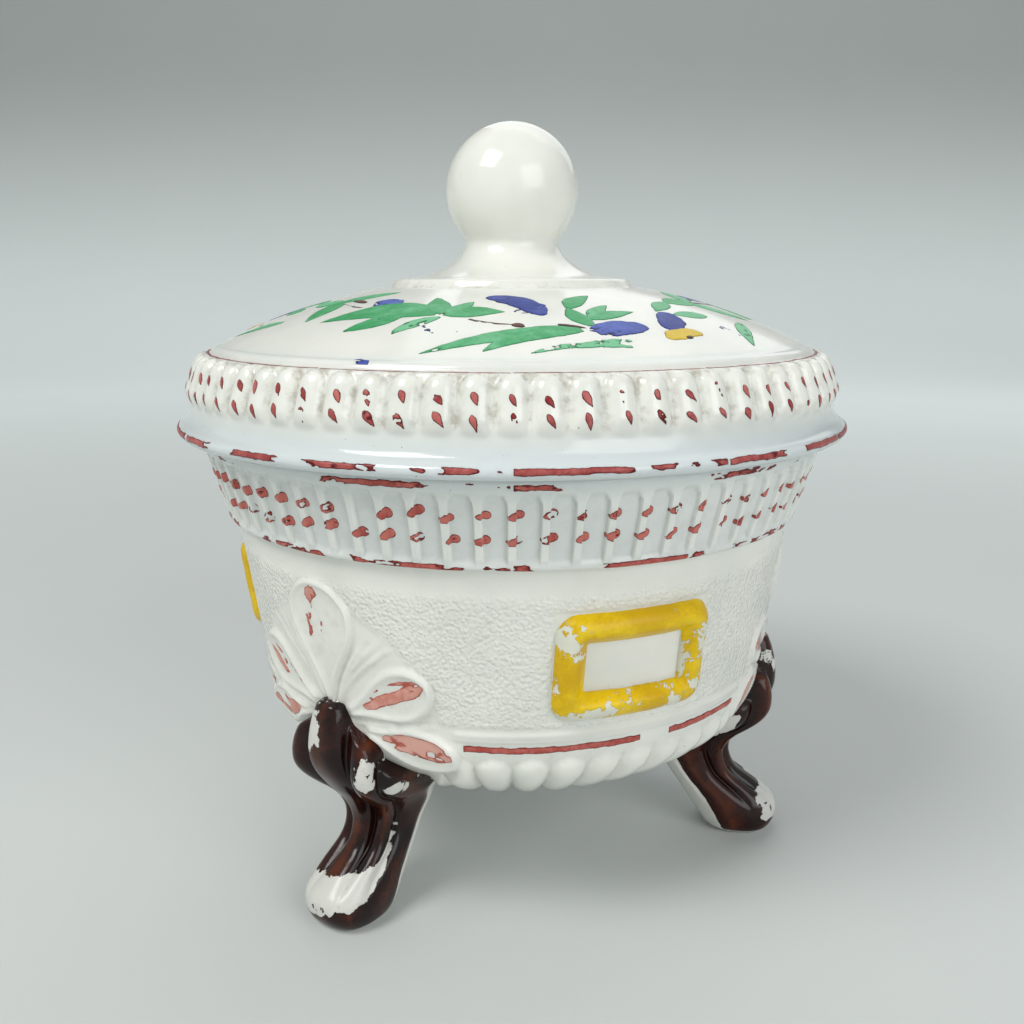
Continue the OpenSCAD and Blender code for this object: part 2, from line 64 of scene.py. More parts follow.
class Slot(Enum):
    """Names of material slots."""

    OPAL = "opal_glass"
    BROWN = "brown_enamel"
    YELLOW = "yellow_enamel"
    RED = "red_enamel"
    GREEN = "green_enamel"
    BLUE = "blue_enamel"


class Look(Enum):
    """Rays by which a background is seen rather than gives light."""

    CAMERA = "Camera"
    GLOSS = "Glossy"
    GLASS = "Transmission"


def ink(red: int, green: int, blue: int) -> Colour:
    """Turns screen colour bytes into the linear colour that shaders take.

    Args:
        red: Red byte, 0 to 255.
        green: Green byte, 0 to 255.
        blue: Blue byte, 0 to 255.

    Returns:
        Linear red, green, blue and an alpha of 1.
    """
    parts = [c / 255 for c in (red, green, blue)]
    flat = [c / 12.92 if c <= 0.04045 else ((c + 0.055) / 1.055) ** 2.4 for c in parts]
    return (flat[0], flat[1], flat[2], 1.0)


def ramp01(x: Array, low: float, high: float) -> Array:
    """Smooth step of x from 0 at low to 1 at high; low may be the larger."""
    t = np.clip((np.asarray(x, float) - low) / (high - low), 0, 1)
    return t * t * (3 - 2 * t)


def bell(x: Array, wide: float) -> Array:
    """A bell curve, 1 at x = 0 and falling over the distance wide."""
    return np.exp(-((x / wide) ** 2))


def domed(x: Array) -> Array:
    """Quarter of a circle that rises from 0 to 1 as x does, flat past both ends."""
    return np.sqrt(1 - (1 - np.clip(x, 0, 1)) ** 2)


def arc(low: float, high: float, count: int) -> Array:
    """Angles from low to high, given in degrees, in radians."""
    return np.radians(np.linspace(low, high, count))


def heading(angle: float) -> Pair:
    """Cosine and sine of an angle in degrees."""
    return math.cos(math.radians(angle)), math.sin(math.radians(angle))


def turn(az: Array) -> Array:
    """Wraps angles in degrees to the span from -180 to 180."""
    return (np.asarray(az, float) + 180) % 360 - 180


def nearest(az: Array, spots: Sequence[float]) -> Array:
    """Signed angle from the nearest of some angles, in degrees."""
    off = np.stack([turn(az - a) for a in spots])
    return np.take_along_axis(off, np.abs(off).argmin(0)[None], 0)[0]


def signed_power(x: Array, power: float) -> Array:
    """Size of x to a power, with the sign of x."""
    return np.sign(x) * np.abs(x) ** power


def curve_through(x: Array, keys: Rows) -> Array:
    """Smooth curve through key points, flat past both ends.

    Args:
        x: Places to read.
        keys: (place, value) pairs in rising order of place.

    Returns:
        The curve's values at x.
    """
    xs, ys = (np.array(c, float) for c in zip(*keys))
    slope = np.zeros_like(ys)
    slope[1:-1] = (ys[2:] - ys[:-2]) / (xs[2:] - xs[:-2])
    x = np.clip(np.asarray(x, float), xs[0], xs[-1])
    i = np.clip(np.searchsorted(xs, x) - 1, 0, len(xs) - 2)
    h = xs[i + 1] - xs[i]
    t = (x - xs[i]) / h
    rise = 3 * t**2 - 2 * t**3
    return (
        ys[i] * (1 - rise)
        + ys[i + 1] * rise
        + h * slope[i] * (t**3 - 2 * t**2 + t)
        + h * slope[i + 1] * (t**3 - t**2)
    )


class Grain:
    """Seeded smooth noise over a plane, from -1 to 1."""

    SIZE = 128

    def __init__(self, seed: int) -> None:
        """Draws the lattice for one seed."""
        self.lattice = np.random.default_rng(seed).random((self.SIZE, self.SIZE)) * 2 - 1

    def plain(self, x: Array, y: Array) -> Array:
        """One octave of noise.

        Args:
            x: First coordinate, in lattice steps.
            y: Second coordinate.

        Returns:
            Values from -1 to 1.
        """
        x, y = np.broadcast_arrays(np.asarray(x, float), np.asarray(y, float))
        i, j = np.floor(x).astype(int), np.floor(y).astype(int)
        u, v = x - i, y - j
        u, v = u * u * (3 - 2 * u), v * v * (3 - 2 * v)
        n, lattice = self.SIZE, self.lattice
        low = lattice[i % n, j % n] * (1 - u) + lattice[(i + 1) % n, j % n] * u
        high = lattice[i % n, (j + 1) % n] * (1 - u) + lattice[(i + 1) % n, (j + 1) % n] * u
        return low * (1 - v) + high * v

    def rich(self, x: Array, y: Array, octaves: int = 3) -> Array:
        """Noise with finer octaves added, each half as strong as the one before.

        Args:
            x: First coordinate, in steps of the coarsest octave.
            y: Second coordinate.
            octaves: How many octaves to add up.

        Returns:
            Values of about -1 to 1.
        """
        total, weight = 0.0, 0.0
        for k in range(octaves):
            total = total + self.plain(x * 2**k + 17 * k, y * 2**k + 31 * k) / 2**k
            weight += 1 / 2**k
        return total / weight


def no_tris() -> Array:
    """An empty list of triangles."""
    return np.zeros((0, 3), int)


@dataclass
class Skin:
    """Points in millimetres, faces and per-point values of one mesh."""

    points: Array
    quads: Array
    tris: Array = field(default_factory=no_tris)
    values: dict[str, Array] = field(default_factory=dict)

    @staticmethod
    def join(skins: Iterable["Skin | None"]) -> "Skin":
        """Puts several skins with the same value names into one.

        Args:
            skins: The skins to join; None stands for paint that has worn away.

        Returns:
            One skin that holds them all.
        """
        found = [s for s in skins if s is not None]
        starts = np.cumsum([0] + [len(s.points) for s in found])
        return Skin(
            np.concatenate([s.points for s in found]),
            np.concatenate([s.quads + a for s, a in zip(found, starts)]),
            np.concatenate([s.tris + a for s, a in zip(found, starts)]),
            {k: np.concatenate([s.values[k] for s in found]) for k in found[0].values},
        )

    def solid(self, name: str, finish: bpy.types.Material) -> bpy.types.Object:
        """Makes the Blender object and puts it in the scene.

        Args:
            name: Name of the object.
            finish: Its material.

        Returns:
            The new object.
        """
        mesh = bpy.data.meshes.new(name)
        mesh.from_pydata((self.points * MM).tolist(), [], self.quads.tolist() + self.tris.tolist())
        for key, value in self.values.items():
            layer = mesh.attributes.new(key, "FLOAT", "POINT")
            layer.data.foreach_set("value", np.ascontiguousarray(value, np.float32))
        mesh.polygons.foreach_set("use_smooth", np.ones(len(mesh.polygons), bool))
        mesh.update()
        mesh.materials.append(finish)
        made = bpy.data.objects.new(name, mesh)
        bpy.context.scene.collection.objects.link(made)
        return made

    def piece(
        self, name: str, finish: bpy.types.Material, body: Body, slot: Slot, nodes: Sequence[str] = ()
    ) -> None:
        """Makes a piece and ties it to the frame.

        Args:
            name: Name of the piece.
            finish: Its material.
            body: The body it rides on.
            slot: Slot of its finish; not used.
            nodes: CAD nodes that it stands for.
        """
        made = self.solid(name, finish)
        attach(made, body.value)
        if nodes:
            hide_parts(*nodes)
        faces = len(self.quads) + len(self.tris)
        LOG.info("%s: %d points, %d faces, on %s", name, len(self.points), faces, body.value)


def sheet_quads(rows: int, cols: int, closed: bool) -> Array:
    """Faces of a grid of points, rows by columns.

    Args:
        rows: Rows of points.
        cols: Points in a row.
        closed: Whether the last column joins the first.

    Returns:
        Four point numbers for each face.
    """
    i, j = np.meshgrid(np.arange(rows - 1), np.arange(cols if closed else cols - 1), indexing="ij")
    k = (j + 1) % cols
    here, below = i * cols, (i + 1) * cols
    return np.stack([here + j, below + j, below + k, here + k], -1).reshape(-1, 4)


def tube(points: Array, values: dict[str, Array], first: Array, last: Array) -> Skin:
    """Closes rows of ring points into a solid skin with a middle point at both ends.

    Args:
        points: Rows by columns by 3.
        values: Rows by columns for each value.
        first: Middle point before the first row.
        last: Middle point after the last row.

    Returns:
        The closed skin.
    """
    rows, cols = points.shape[:2]
    ring = np.arange(cols)
    after = (ring + 1) % cols
    top, low, end = rows * cols, rows * cols + 1, (rows - 1) * cols
    tris = np.concatenate(
        [
            np.stack([np.full(cols, top), ring, after], -1),
            np.stack([np.full(cols, low), end + after, end + ring], -1),
        ]
    )
    flat = {k: np.append(v.reshape(-1), [v[0].mean(), v[-1].mean()]) for k, v in values.items()}
    return Skin(
        np.concatenate([points.reshape(-1, 3), [first], [last]]),
        sheet_quads(rows, cols, True),
        tris,
        flat,
    )


Relief = Callable[[Array, Array, Array], dict[str, Array]]
Place = Callable[[Array, Array, Array], Array]


class Turned:
    """A turned outline with relief on it, the ground of the glass and of all paint on it."""

    STEP = 0.05

    def __init__(self, corners: Sequence[Pair], soft: float, relief: Relief) -> None:
        """Rounds the outline and measures it.

        Args:
            corners: (radius, height) along the outline, from the axis above to the axis below.
            soft: How far its corners are rounded, in millimetres.
            relief: Gives "lift" and other values at angle, radius and height.
        """
        corner = np.array(corners, float)
        along = np.concatenate([[0], np.cumsum(np.hypot(*np.diff(corner, axis=0).T))])
        s = np.arange(0, along[-1], self.STEP)
        path = np.stack([np.interp(s, along, corner[:, k]) for k in (0, 1)], -1)
        reach = int(3 * soft / self.STEP)
        weight = np.exp(-0.5 * (np.arange(-reach, reach + 1) * self.STEP / soft) ** 2)
        padded = np.concatenate(
            [2 * path[0] - path[reach:0:-1], path, 2 * path[-1] - path[-2 : -reach - 2 : -1]]
        )
        path = np.stack([np.convolve(padded[:, k], weight / weight.sum(), "valid") for k in (0, 1)], -1)
        self.r, self.z = np.maximum(path[:, 0], 0), path[:, 1]
        self.s = np.concatenate([[0], np.cumsum(np.hypot(np.diff(self.r), np.diff(self.z)))])
        way = np.gradient(path, axis=0)
        way /= np.maximum(np.hypot(*way.T), 1e-9)[:, None]
        self.normal = np.stack([-way[:, 1], way[:, 0]], -1)
        self.relief = relief

    @property
    def mouth(self) -> float:
        """Place of the outline's highest point."""
        return float(self.s[np.argmax(self.z)])

    def station(self, z: float, after: float = 0.0) -> float:
        """First place along the outline, past a given one, where it comes down to height z."""
        return float(self.s[np.argmax((self.s > after) & (self.z <= z))])

    def radius(self, s: float) -> float:
        """Radius of the outline at place s."""
        return float(np.interp(s, self.s, self.r))

    def ring(self, r: Array, low: float, high: float) -> Array:
        """Places along the outline between low and high where its radius is r."""
        part = (self.s >= low) & (self.s <= high)
        return np.interp(r, self.r[part], self.s[part])

    def spot(self, az: float, s: float, radius: float) -> Place:
        """Makes a way to lay paint round one place.

        Args:
            az: Angle of the place.
            s: Where it is along the outline.
            radius: Radius that turns a distance round the glass into an angle.

        Returns:
            A function that lays coordinates and a lift on the glass.
        """

        def lay(u: Array, v: Array, lift: Array) -> Array:
            """Lays coordinates, counted from the place, and a lift on the glass."""
            return self.point(az + np.degrees(u / radius), s + v, lift)

        return lay

    def point(self, az: Array, s: Array, lift: Array | float) -> Array:
        """Points on the relief at angles az and places s, raised by lift.

        Args:
            az: Angles from the front, in degrees.
            s: Places along the outline.
            lift: Height over the relief.

        Returns:
            Points, with a last axis of 3.
        """
        r, z, out, up = (np.interp(s, self.s, v) for v in (self.r, self.z, *self.normal.T))
        over = self.relief(az, r, z)["lift"] + lift
        rr, turned = r + out * over, np.radians(az)
        return np.stack([rr * np.sin(turned), -rr * np.cos(turned), z + up * over], -1)

    def skin(self, columns: Array, rows: Array) -> Skin:
        """The whole turned body as a closed skin.

        Args:
            columns: Angles of the points round it, in degrees.
            rows: Places along the outline for the rings.

        Returns:
            The skin, with the relief's values.
        """
        az, s = np.meshgrid(columns, rows)
        points = self.point(az, s, 0.0)
        values = self.relief(az, np.interp(s, self.s, self.r), np.interp(s, self.s, self.z))
        values.pop("lift")
        ends = [np.array([0, 0, points[k, :, 2].mean()]) for k in (0, -1)]
        return tube(points, values, *ends)


def steps(*parts: Triple) -> Array:
    """Places from (start, end, spacing) runs, in one rising list."""
    runs = [np.linspace(a, b, max(2, round((b - a) / gap)), endpoint=False) for a, b, gap in parts]
    return np.concatenate(runs)


# How far a point on a film's edge may move, in cells, and the fewest cells that make a film.
SNAP = 0.7
FEWEST_CELLS = 3
# Millimetres in which a film reaches its height, what it has at once, and how deep its root is.
FILM_EDGE, FILM_LEAST, FILM_ROOT = 0.18, 0.01, 0.12


def coat(u: Array, v: Array, depth: Array, place: Place, thick: float, tone: float) -> Skin | None:
    """A film of paint with a real outline: the part of a grid where depth is above 0.

    Args:
        u: First grid coordinate, rows by columns, in millimetres.
        v: Second grid coordinate.
        depth: About the distance inside the outline, below 0 outside.
        place: Lays coordinates and a lift on the ground below the paint.
        thick: Thickness of the film.
        tone: A value from 0 to 1 that shades this stroke.

    Returns:
        A closed skin with the values edge and tone, or None where nothing is left.
    """
    kept = (depth[:-1, :-1] + depth[1:, :-1] + depth[:-1, 1:] + depth[1:, 1:]) > 0
    if kept.sum() < FEWEST_CELLS:
        return None
    near = np.zeros(depth.shape, int)
    for a in (0, 1):
        for b in (0, 1):
            near[a : a + kept.shape[0], b : b + kept.shape[1]] += kept
    used, rim = near > 0, (near > 0) & (near < 4)
    du, dv = u[0, 1] - u[0, 0], v[1, 0] - v[0, 0]
    gv, gu = np.gradient(depth, dv, du)
    shift = np.where(rim, depth / np.maximum(gu**2 + gv**2, 1e-6), 0)
    uu = (u - np.clip(shift * gu, -SNAP * du, SNAP * du))[used]
    vv = (v - np.clip(shift * gv, -SNAP * dv, SNAP * dv))[used]
    inside = np.where(rim, 0, np.maximum(depth, 0))[used]
    count = int(used.sum())
    number = np.full(depth.shape, -1)
    number[used] = np.arange(count)
    high = thick * (1 - np.exp(-inside / FILM_EDGE)) + FILM_LEAST
    top = place(uu, vv, np.where(rim[used], 0.0, high))
    low = place(uu, vv, np.full(count, -FILM_ROOT))
    corner = [number[:-1, :-1], number[:-1, 1:], number[1:, 1:], number[1:, :-1]]
    face = np.stack([c[kept] for c in corner], -1)
    walls = []
    wide = np.pad(kept, 1)
    beside = (wide[:-2, 1:-1], wide[1:-1, 2:], wide[2:, 1:-1], wide[1:-1, :-2])
    for k, other in enumerate(beside):
        bare = kept & ~other
        a, b = corner[k][bare], corner[(k + 1) % 4][bare]
        walls.append(np.stack([b, a, a + count, b + count], -1))
    quads = np.concatenate([face, face[:, ::-1] + count, *walls])
    values = {"edge": np.tile(inside, 2), "tone": np.full(2 * count, tone)}
    return Skin(np.concatenate([top, low]), quads, values=values)


def patch(width: float, height: float, cell: float) -> tuple[Array, Array]:
    """Grid coordinates of a patch centred on 0.

    Args:
        width: Its width, in millimetres.
        height: Its height.
        cell: Size of a cell.

    Returns:
        First and second coordinate, rows by columns.
    """
    u = np.arange(-width / 2, width / 2 + cell, cell)
    v = np.arange(-height / 2, height / 2 + cell, cell)
    return np.meshgrid(u, v)


def tilted(u: Array, v: Array, tilt: float) -> tuple[Array, Array]:
    """Coordinates along axes that are turned by tilt, in degrees."""
    c, s = heading(tilt)
    return u * c + v * s, v * c - u * s


def drop(t: Array, y: Array, tall: float) -> Array:
    """Depth inside a brush drop with its point at t = 0 and its round end at t = 1.

    Args:
        t: Place along the drop.
        y: Distance from its middle line.
        tall: Its greatest height.

    Returns:
        About the distance inside its edge, below 0 outside.
    """
    belly, end, half, outside = 0.35, 0.43, 0.625, -0.4
    taper = np.clip(1 - np.clip(t - belly, 0, 1) ** 2 / end, 0, 1)
    swell = np.sqrt(np.clip(t, 0, 1)) * np.sqrt(taper)
    return np.where((t > 0) & (t < 1), half * tall * swell - np.abs(y), outside)


class Wire:
    """A shader output that Python's operators work on."""

    def __init__(self, tree: "Shader", socket: bpy.types.NodeSocket) -> None:
        """Holds the socket and the tree that it belongs to."""
        self.tree, self.socket = tree, socket

    def __add__(self, other: "Wire | float") -> "Wire":
        """Sum of two values."""
        return self.tree.maths("ADD", self, other)

    __radd__ = __add__

    def __mul__(self, other: "Wire | float") -> "Wire":
        """Product of two values."""
        return self.tree.maths("MULTIPLY", self, other)

    __rmul__ = __mul__

    def __sub__(self, other: "Wire | float") -> "Wire":
        """This value less the other."""
        return self.tree.maths("SUBTRACT", self, other)

    def __rsub__(self, other: "Wire | float") -> "Wire":
        """The other value less this one."""
        return self.tree.maths("SUBTRACT", other, self)

    def __pow__(self, other: "Wire | float") -> "Wire":
        """This value to a power."""
        return self.tree.maths("POWER", self, other)

    def rise(self, low: float, high: float) -> "Wire":
        """Smooth step from 0 at low to 1 at high."""
        sockets = {"Value": self, "From Min": low, "From Max": high}
        return self.tree.node("ShaderNodeMapRange", {"interpolation_type": "SMOOTHSTEP"}, sockets)


class Shader:
    """One material and the nodes in it."""

    def __init__(self, name: str) -> None:
        """Starts a material with one Principled shader.

        Args:
            name: Name of the material.
        """
        self.material = bpy.data.materials.new(name)
        self.material.use_nodes = True
        self.nodes, self.links = self.material.node_tree.nodes, self.material.node_tree.links
        self.nodes.clear()
        self.shader = self.nodes.new("ShaderNodeBsdfPrincipled")
        output = self.nodes.new("ShaderNodeOutputMaterial")
        self.links.new(self.shader.outputs[0], output.inputs["Surface"])

    def feed(self, socket: bpy.types.NodeSocket, value: Any) -> None:
        """Links a wire to a socket, or sets the socket's own value.

        Args:
            socket: The socket to feed.
            value: A wire, or a plain value.
        """
        if isinstance(value, Wire):
            self.links.new(value.socket, socket)
        else:
            socket.default_value = value

    def node(
        self,
        kind: str,
        settings: dict[str, Any] | None = None,
        sockets: dict[str | int, Any] | None = None,
        out: str | int = 0,
    ) -> Wire:
        """Adds any node.

        Args:
            kind: Blender's name of the node type.
            settings: Its settings, set first.
            sockets: Values or wires of its inputs, by name or number.
            out: The output to return.

        Returns:
            The chosen output.
        """
        made = self.nodes.new(kind)
        for key, value in (settings or {}).items():
            setattr(made, key, value)
        for key, value in (sockets or {}).items():
            self.feed(made.inputs[key], value)
        return Wire(self, made.outputs[out])

    def maths(self, operation: str, a: "Wire | float", b: "Wire | float" = 0.0) -> Wire:
        """A Math node on two values."""
        return self.node("ShaderNodeMath", {"operation": operation}, {0: a, 1: b})

    def blend(self, share: "Wire | float", a: "Wire | Colour", b: "Wire | Colour") -> Wire:
        """Colour a turning into colour b as share goes from 0 to 1."""
        return self.node("ShaderNodeMix", {"data_type": "RGBA"}, {0: share, 6: a, 7: b}, 2)

    def value(self, name: str) -> Wire:
        """A value that the mesh holds for each point."""
        return self.node("ShaderNodeAttribute", {"attribute_name": name}, out="Fac")

    def noise(self, scale: float, detail: float = 3.0, rough: float = 0.55, warp: float = 0.0) -> Wire:
        """Noise in the object's own space.

        Args:
            scale: Lumps per metre.
            detail: Octaves of finer noise.
            rough: Strength of the finer octaves.
            warp: How far it is twisted.

        Returns:
            Its value, about 0.5 in the middle.
        """
        where = self.node("ShaderNodeTexCoord", out="Object")
        sockets = {"Vector": where, "Scale": scale, "Detail": detail, "Roughness": rough, "Distortion": warp}
        return self.node("ShaderNodeTexNoise", None, sockets)

    def seen(self) -> Wire:
        """1 where the camera, a gloss or a glass looks at it, else 0."""
        a, b, c = (self.node("ShaderNodeLightPath", out=f"Is {kind.value} Ray") for kind in Look)
        return a + b + c

    def bump(self, height: Wire, distance: float) -> Wire:
        """Normal of a bumpy surface whose full height is distance, in metres."""
        return self.node("ShaderNodeBump", None, {"Height": height, "Distance": distance})

    def dress(self, **sockets: Any) -> bpy.types.Material:
        """Sets the shader's sockets, spaces in their names written as _.

        Args:
            sockets: Values or wires by socket name.

        Returns:
            The finished material.
        """
        for key, value in sockets.items():
            self.feed(self.shader.inputs[key.replace("_", " ")], value)
        return self.material


class RoomLight(Shader):
    """The world and the nodes in it."""

    def __init__(self, name: str) -> None:
        """Starts a world with one Background shader.

        Args:
            name: Name of the world.
        """
        self.world = bpy.data.worlds.new(name)
        self.world.use_nodes = True
        self.nodes, self.links = self.world.node_tree.nodes, self.world.node_tree.links
        self.shader = self.nodes["Background"]


@dataclass(frozen=True)
class OpalGlass:
    """Milk-white pressed glass: soft inside, glossy, bluish where thin, darker and browner in the hollows
    from grime and, on the dish's panels between the ribs, from painted shade.
    """

    milk: Colour = ink(240, 240, 233)
    cloud: Colour = ink(231, 233, 226)
    thin: Colour = ink(208, 217, 220)
    grime_and_shade_tone: Colour = ink(158, 146, 130)
    speck: Colour = ink(84, 78, 74)
    depth: float = 0.002
    pebble: float = 0.00029
    grime_and_shade_share: float = 0.5
    cloud_scale: float = 70.0
    dirt_scale: float = 420.0
    speck_scale: float = 1500.0
    pebble_scale: float = 1600.0
    grit_scale: float = 2500.0

    def material(self, name: str) -> bpy.types.Material:
        """Builds the material; the mesh holds the values stipple, thin and hollow.

        Args:
            name: Name of the material.

        Returns:
            The material.
        """
        made = Shader(name)
        cloud = made.noise(self.cloud_scale, 3.0)
        body = made.blend(cloud.rise(0.35, 0.7), self.milk, self.cloud)
        body = made.blend(made.value("thin") * 0.85, body, self.thin)
        # Darker, browner tint in the hollows: grime, and on the dish's panels between the ribs painted shade.
        grime_and_shade = made.value("hollow") * made.noise(self.dirt_scale, 4.0, 0.65).rise(0.42, 0.72)
        body = made.blend(grime_and_shade * self.grime_and_shade_share, body, self.grime_and_shade_tone)
        speck = made.noise(self.speck_scale, 2.0).rise(0.735, 0.77) * made.noise(60.0).rise(0.45, 0.65)
        body = made.blend(speck * 0.8, body, self.speck)
        where = made.node("ShaderNodeTexCoord", out="Object")
        sockets = {"Vector": where, "Scale": self.pebble_scale, "Smoothness": 0.5}
        cells = made.node("ShaderNodeTexVoronoi", {"feature": "SMOOTH_F1"}, sockets)
        pebbles = 1 - cells + 0.4 * made.noise(self.grit_scale, 1.0)
        height = made.value("stipple") * pebbles + made.noise(160.0, 2.0) * 0.12
        rough = 0.09 + 0.1 * made.noise(240.0, 4.0) + 0.03 * made.value("stipple") + 0.2 * grime_and_shade
        return made.dress(
            Base_Color=body,
            Roughness=rough,
            Normal=made.bump(height, self.pebble),
            IOR=1.5,
            Subsurface_Weight=0.3,
            Subsurface_Radius=(1.0, 0.92, 0.85),
            Subsurface_Scale=self.depth,
        )


@dataclass(frozen=True)
class BrushedEnamel:
    """A brush stroke of fired colour: dark where the paint gathered at its edge, streaked in the middle."""

    deep: Colour
    mid: Colour
    pale: Colour
    streak: float = 500.0
    rough: float = 0.34
    rim: float = 0.3
    ridge: float = 0.00006
    shine: float = 0.28

    def material(self, name: str) -> bpy.types.Material:
        """Builds the material; the mesh holds the values edge and tone.

        Args:
            name: Name of the material.

        Returns:
            The material.
        """
        made = Shader(name)
        grain = made.noise(self.streak, 4.0, 0.6, 0.6)
        fine = made.noise(self.streak * 4, 2.0)
        wash = made.noise(self.streak * 0.35, 2.0)
        inner = made.value("edge").rise(0.06, 0.06 + self.rim)
        worn = (grain * 0.5 + wash * 0.45 + made.value("tone") * 0.55 + fine * 0.2).rise(0.55, 1.0)
        middle = made.blend(worn, self.mid, self.pale)
        body = made.blend((inner * 0.85 + grain * 0.35).rise(0.1, 0.75), self.deep, middle)
        rough = self.rough + 0.25 * (grain - 0.5)
        return made.dress(
            Base_Color=body,
            Roughness=rough,
            Normal=made.bump(grain + fine * 0.4, self.ridge),
            IOR=1.5,
            Specular_IOR_Level=self.shine,
        )


@dataclass(frozen=True)
class FlakedEnamel:
    """A coat of enamel on glass that has flaked, with thin spots round the flakes."""

    coat: Colour
    dark: Colour
    thin: Colour
    bare: Colour = ink(215, 215, 209)
    flake: float = 190.0
    thinness: float = 0.35
    gloss: float = 0.16
    # Share of painted shade in the flute valleys.
    crease_shade: float = 0.0
    thick: float = 0.00012
    shine: float = 0.3

    def material(self, name: str) -> bpy.types.Material:
        """Builds the material; the mesh holds the values paint, wear and ridge.

        Args:
            name: Name of the material.

        Returns:
            The material.
        """
        made = Shader(name)
        chips = made.noise(self.flake, 6.0, 0.62, 0.3)
        fine = made.noise(self.flake * 7, 3.0, 0.6)
        left = 1.62 * made.value("paint") - 1.0 - 0.8 * made.value("wear")
        left = left - 1.7 * (chips - 0.5) - 0.35 * (fine - 0.5)
        painted = left.rise(0.0, 0.02)
        tint = made.noise(self.flake * 0.6, 4.0)
        body = made.blend((tint * 0.75 + fine * 0.25).rise(0.38, 0.66), self.dark, self.coat)
        rubbed = (made.value("ridge") * 0.5 + tint * 0.6).rise(0.6, 1.0)
        body = made.blend(rubbed * self.thinness, body, self.thin)
        # Painted shade: the flute valleys, away from the ridges, darken towards the dark colour.
        body = made.blend((1 - made.value("ridge")) ** 2.0 * self.crease_shade, body, self.dark)
        body = made.blend((1 - left.rise(0.01, 0.07)) * 0.5, body, self.dark)
        glass = made.blend(fine.rise(0.6, 0.8) * 0.3, self.bare, self.thin)
        skin = made.blend(painted, glass, body)
        rough = self.gloss + 0.16 * fine + 0.06 * (1 - painted)
        height = painted * 0.7 + 0.12 * fine + 0.35 * tint
        return made.dress(
            Base_Color=skin,
            Roughness=rough,
            Normal=made.bump(height, self.thick),
            IOR=1.52,
            Specular_IOR_Level=self.shine,
        )


@dataclass(frozen=True)
class PaleTable:
    """A plain pale table top that runs up into the wall behind."""

    near: Colour = ink(210, 214, 213)
    patch: Colour = ink(204, 209, 209)
    # Colour of a painted glow on the far table and the low part of the sweep.
    backdrop_glow: Colour = (0.27, 0.3, 0.3, 1)

    def material(self, name: str) -> bpy.types.Material:
        """Builds the material.

        Args:
            name: Name of the material.

        Returns:
            The material.
        """
        made = Shader(name)
        mottle = made.noise(9.0, 3.0)
        body = made.blend(mottle.rise(0.3, 0.7) * 0.25, self.near, self.patch)
        where = made.node("ShaderNodeTexCoord", out="Object")
        away = made.node("ShaderNodeVectorMath", {"operation": "LENGTH"}, {0: where}, "Value")
        back, height = (made.node("ShaderNodeSeparateXYZ", None, {0: where}, k) for k in (1, 2))
        # Painted glow, seen only by camera, gloss and glass rays: brighter as the table recedes, less up the
        # sweep, more towards the back.
        far = away.rise(0.15, 1.0) * (1 - height.rise(0.04, 0.45)) * (0.8 + 0.2 * back.rise(-0.5, 0.4))
        return made.dress(
            Base_Color=body,
            Roughness=0.55 + 0.1 * mottle,
            IOR=1.45,
            Emission_Color=made.blend(made.seen() * far, BLACK, self.backdrop_glow),
            Emission_Strength=1.0,
        )


LEG_AZ = (-37.5, 82.5, 202.5)
LEG_NAMES = ("left", "right", "back")
GAP_AZ = (22.5, 142.5, 262.5)
GAP_NAMES = ("front", "back", "left")


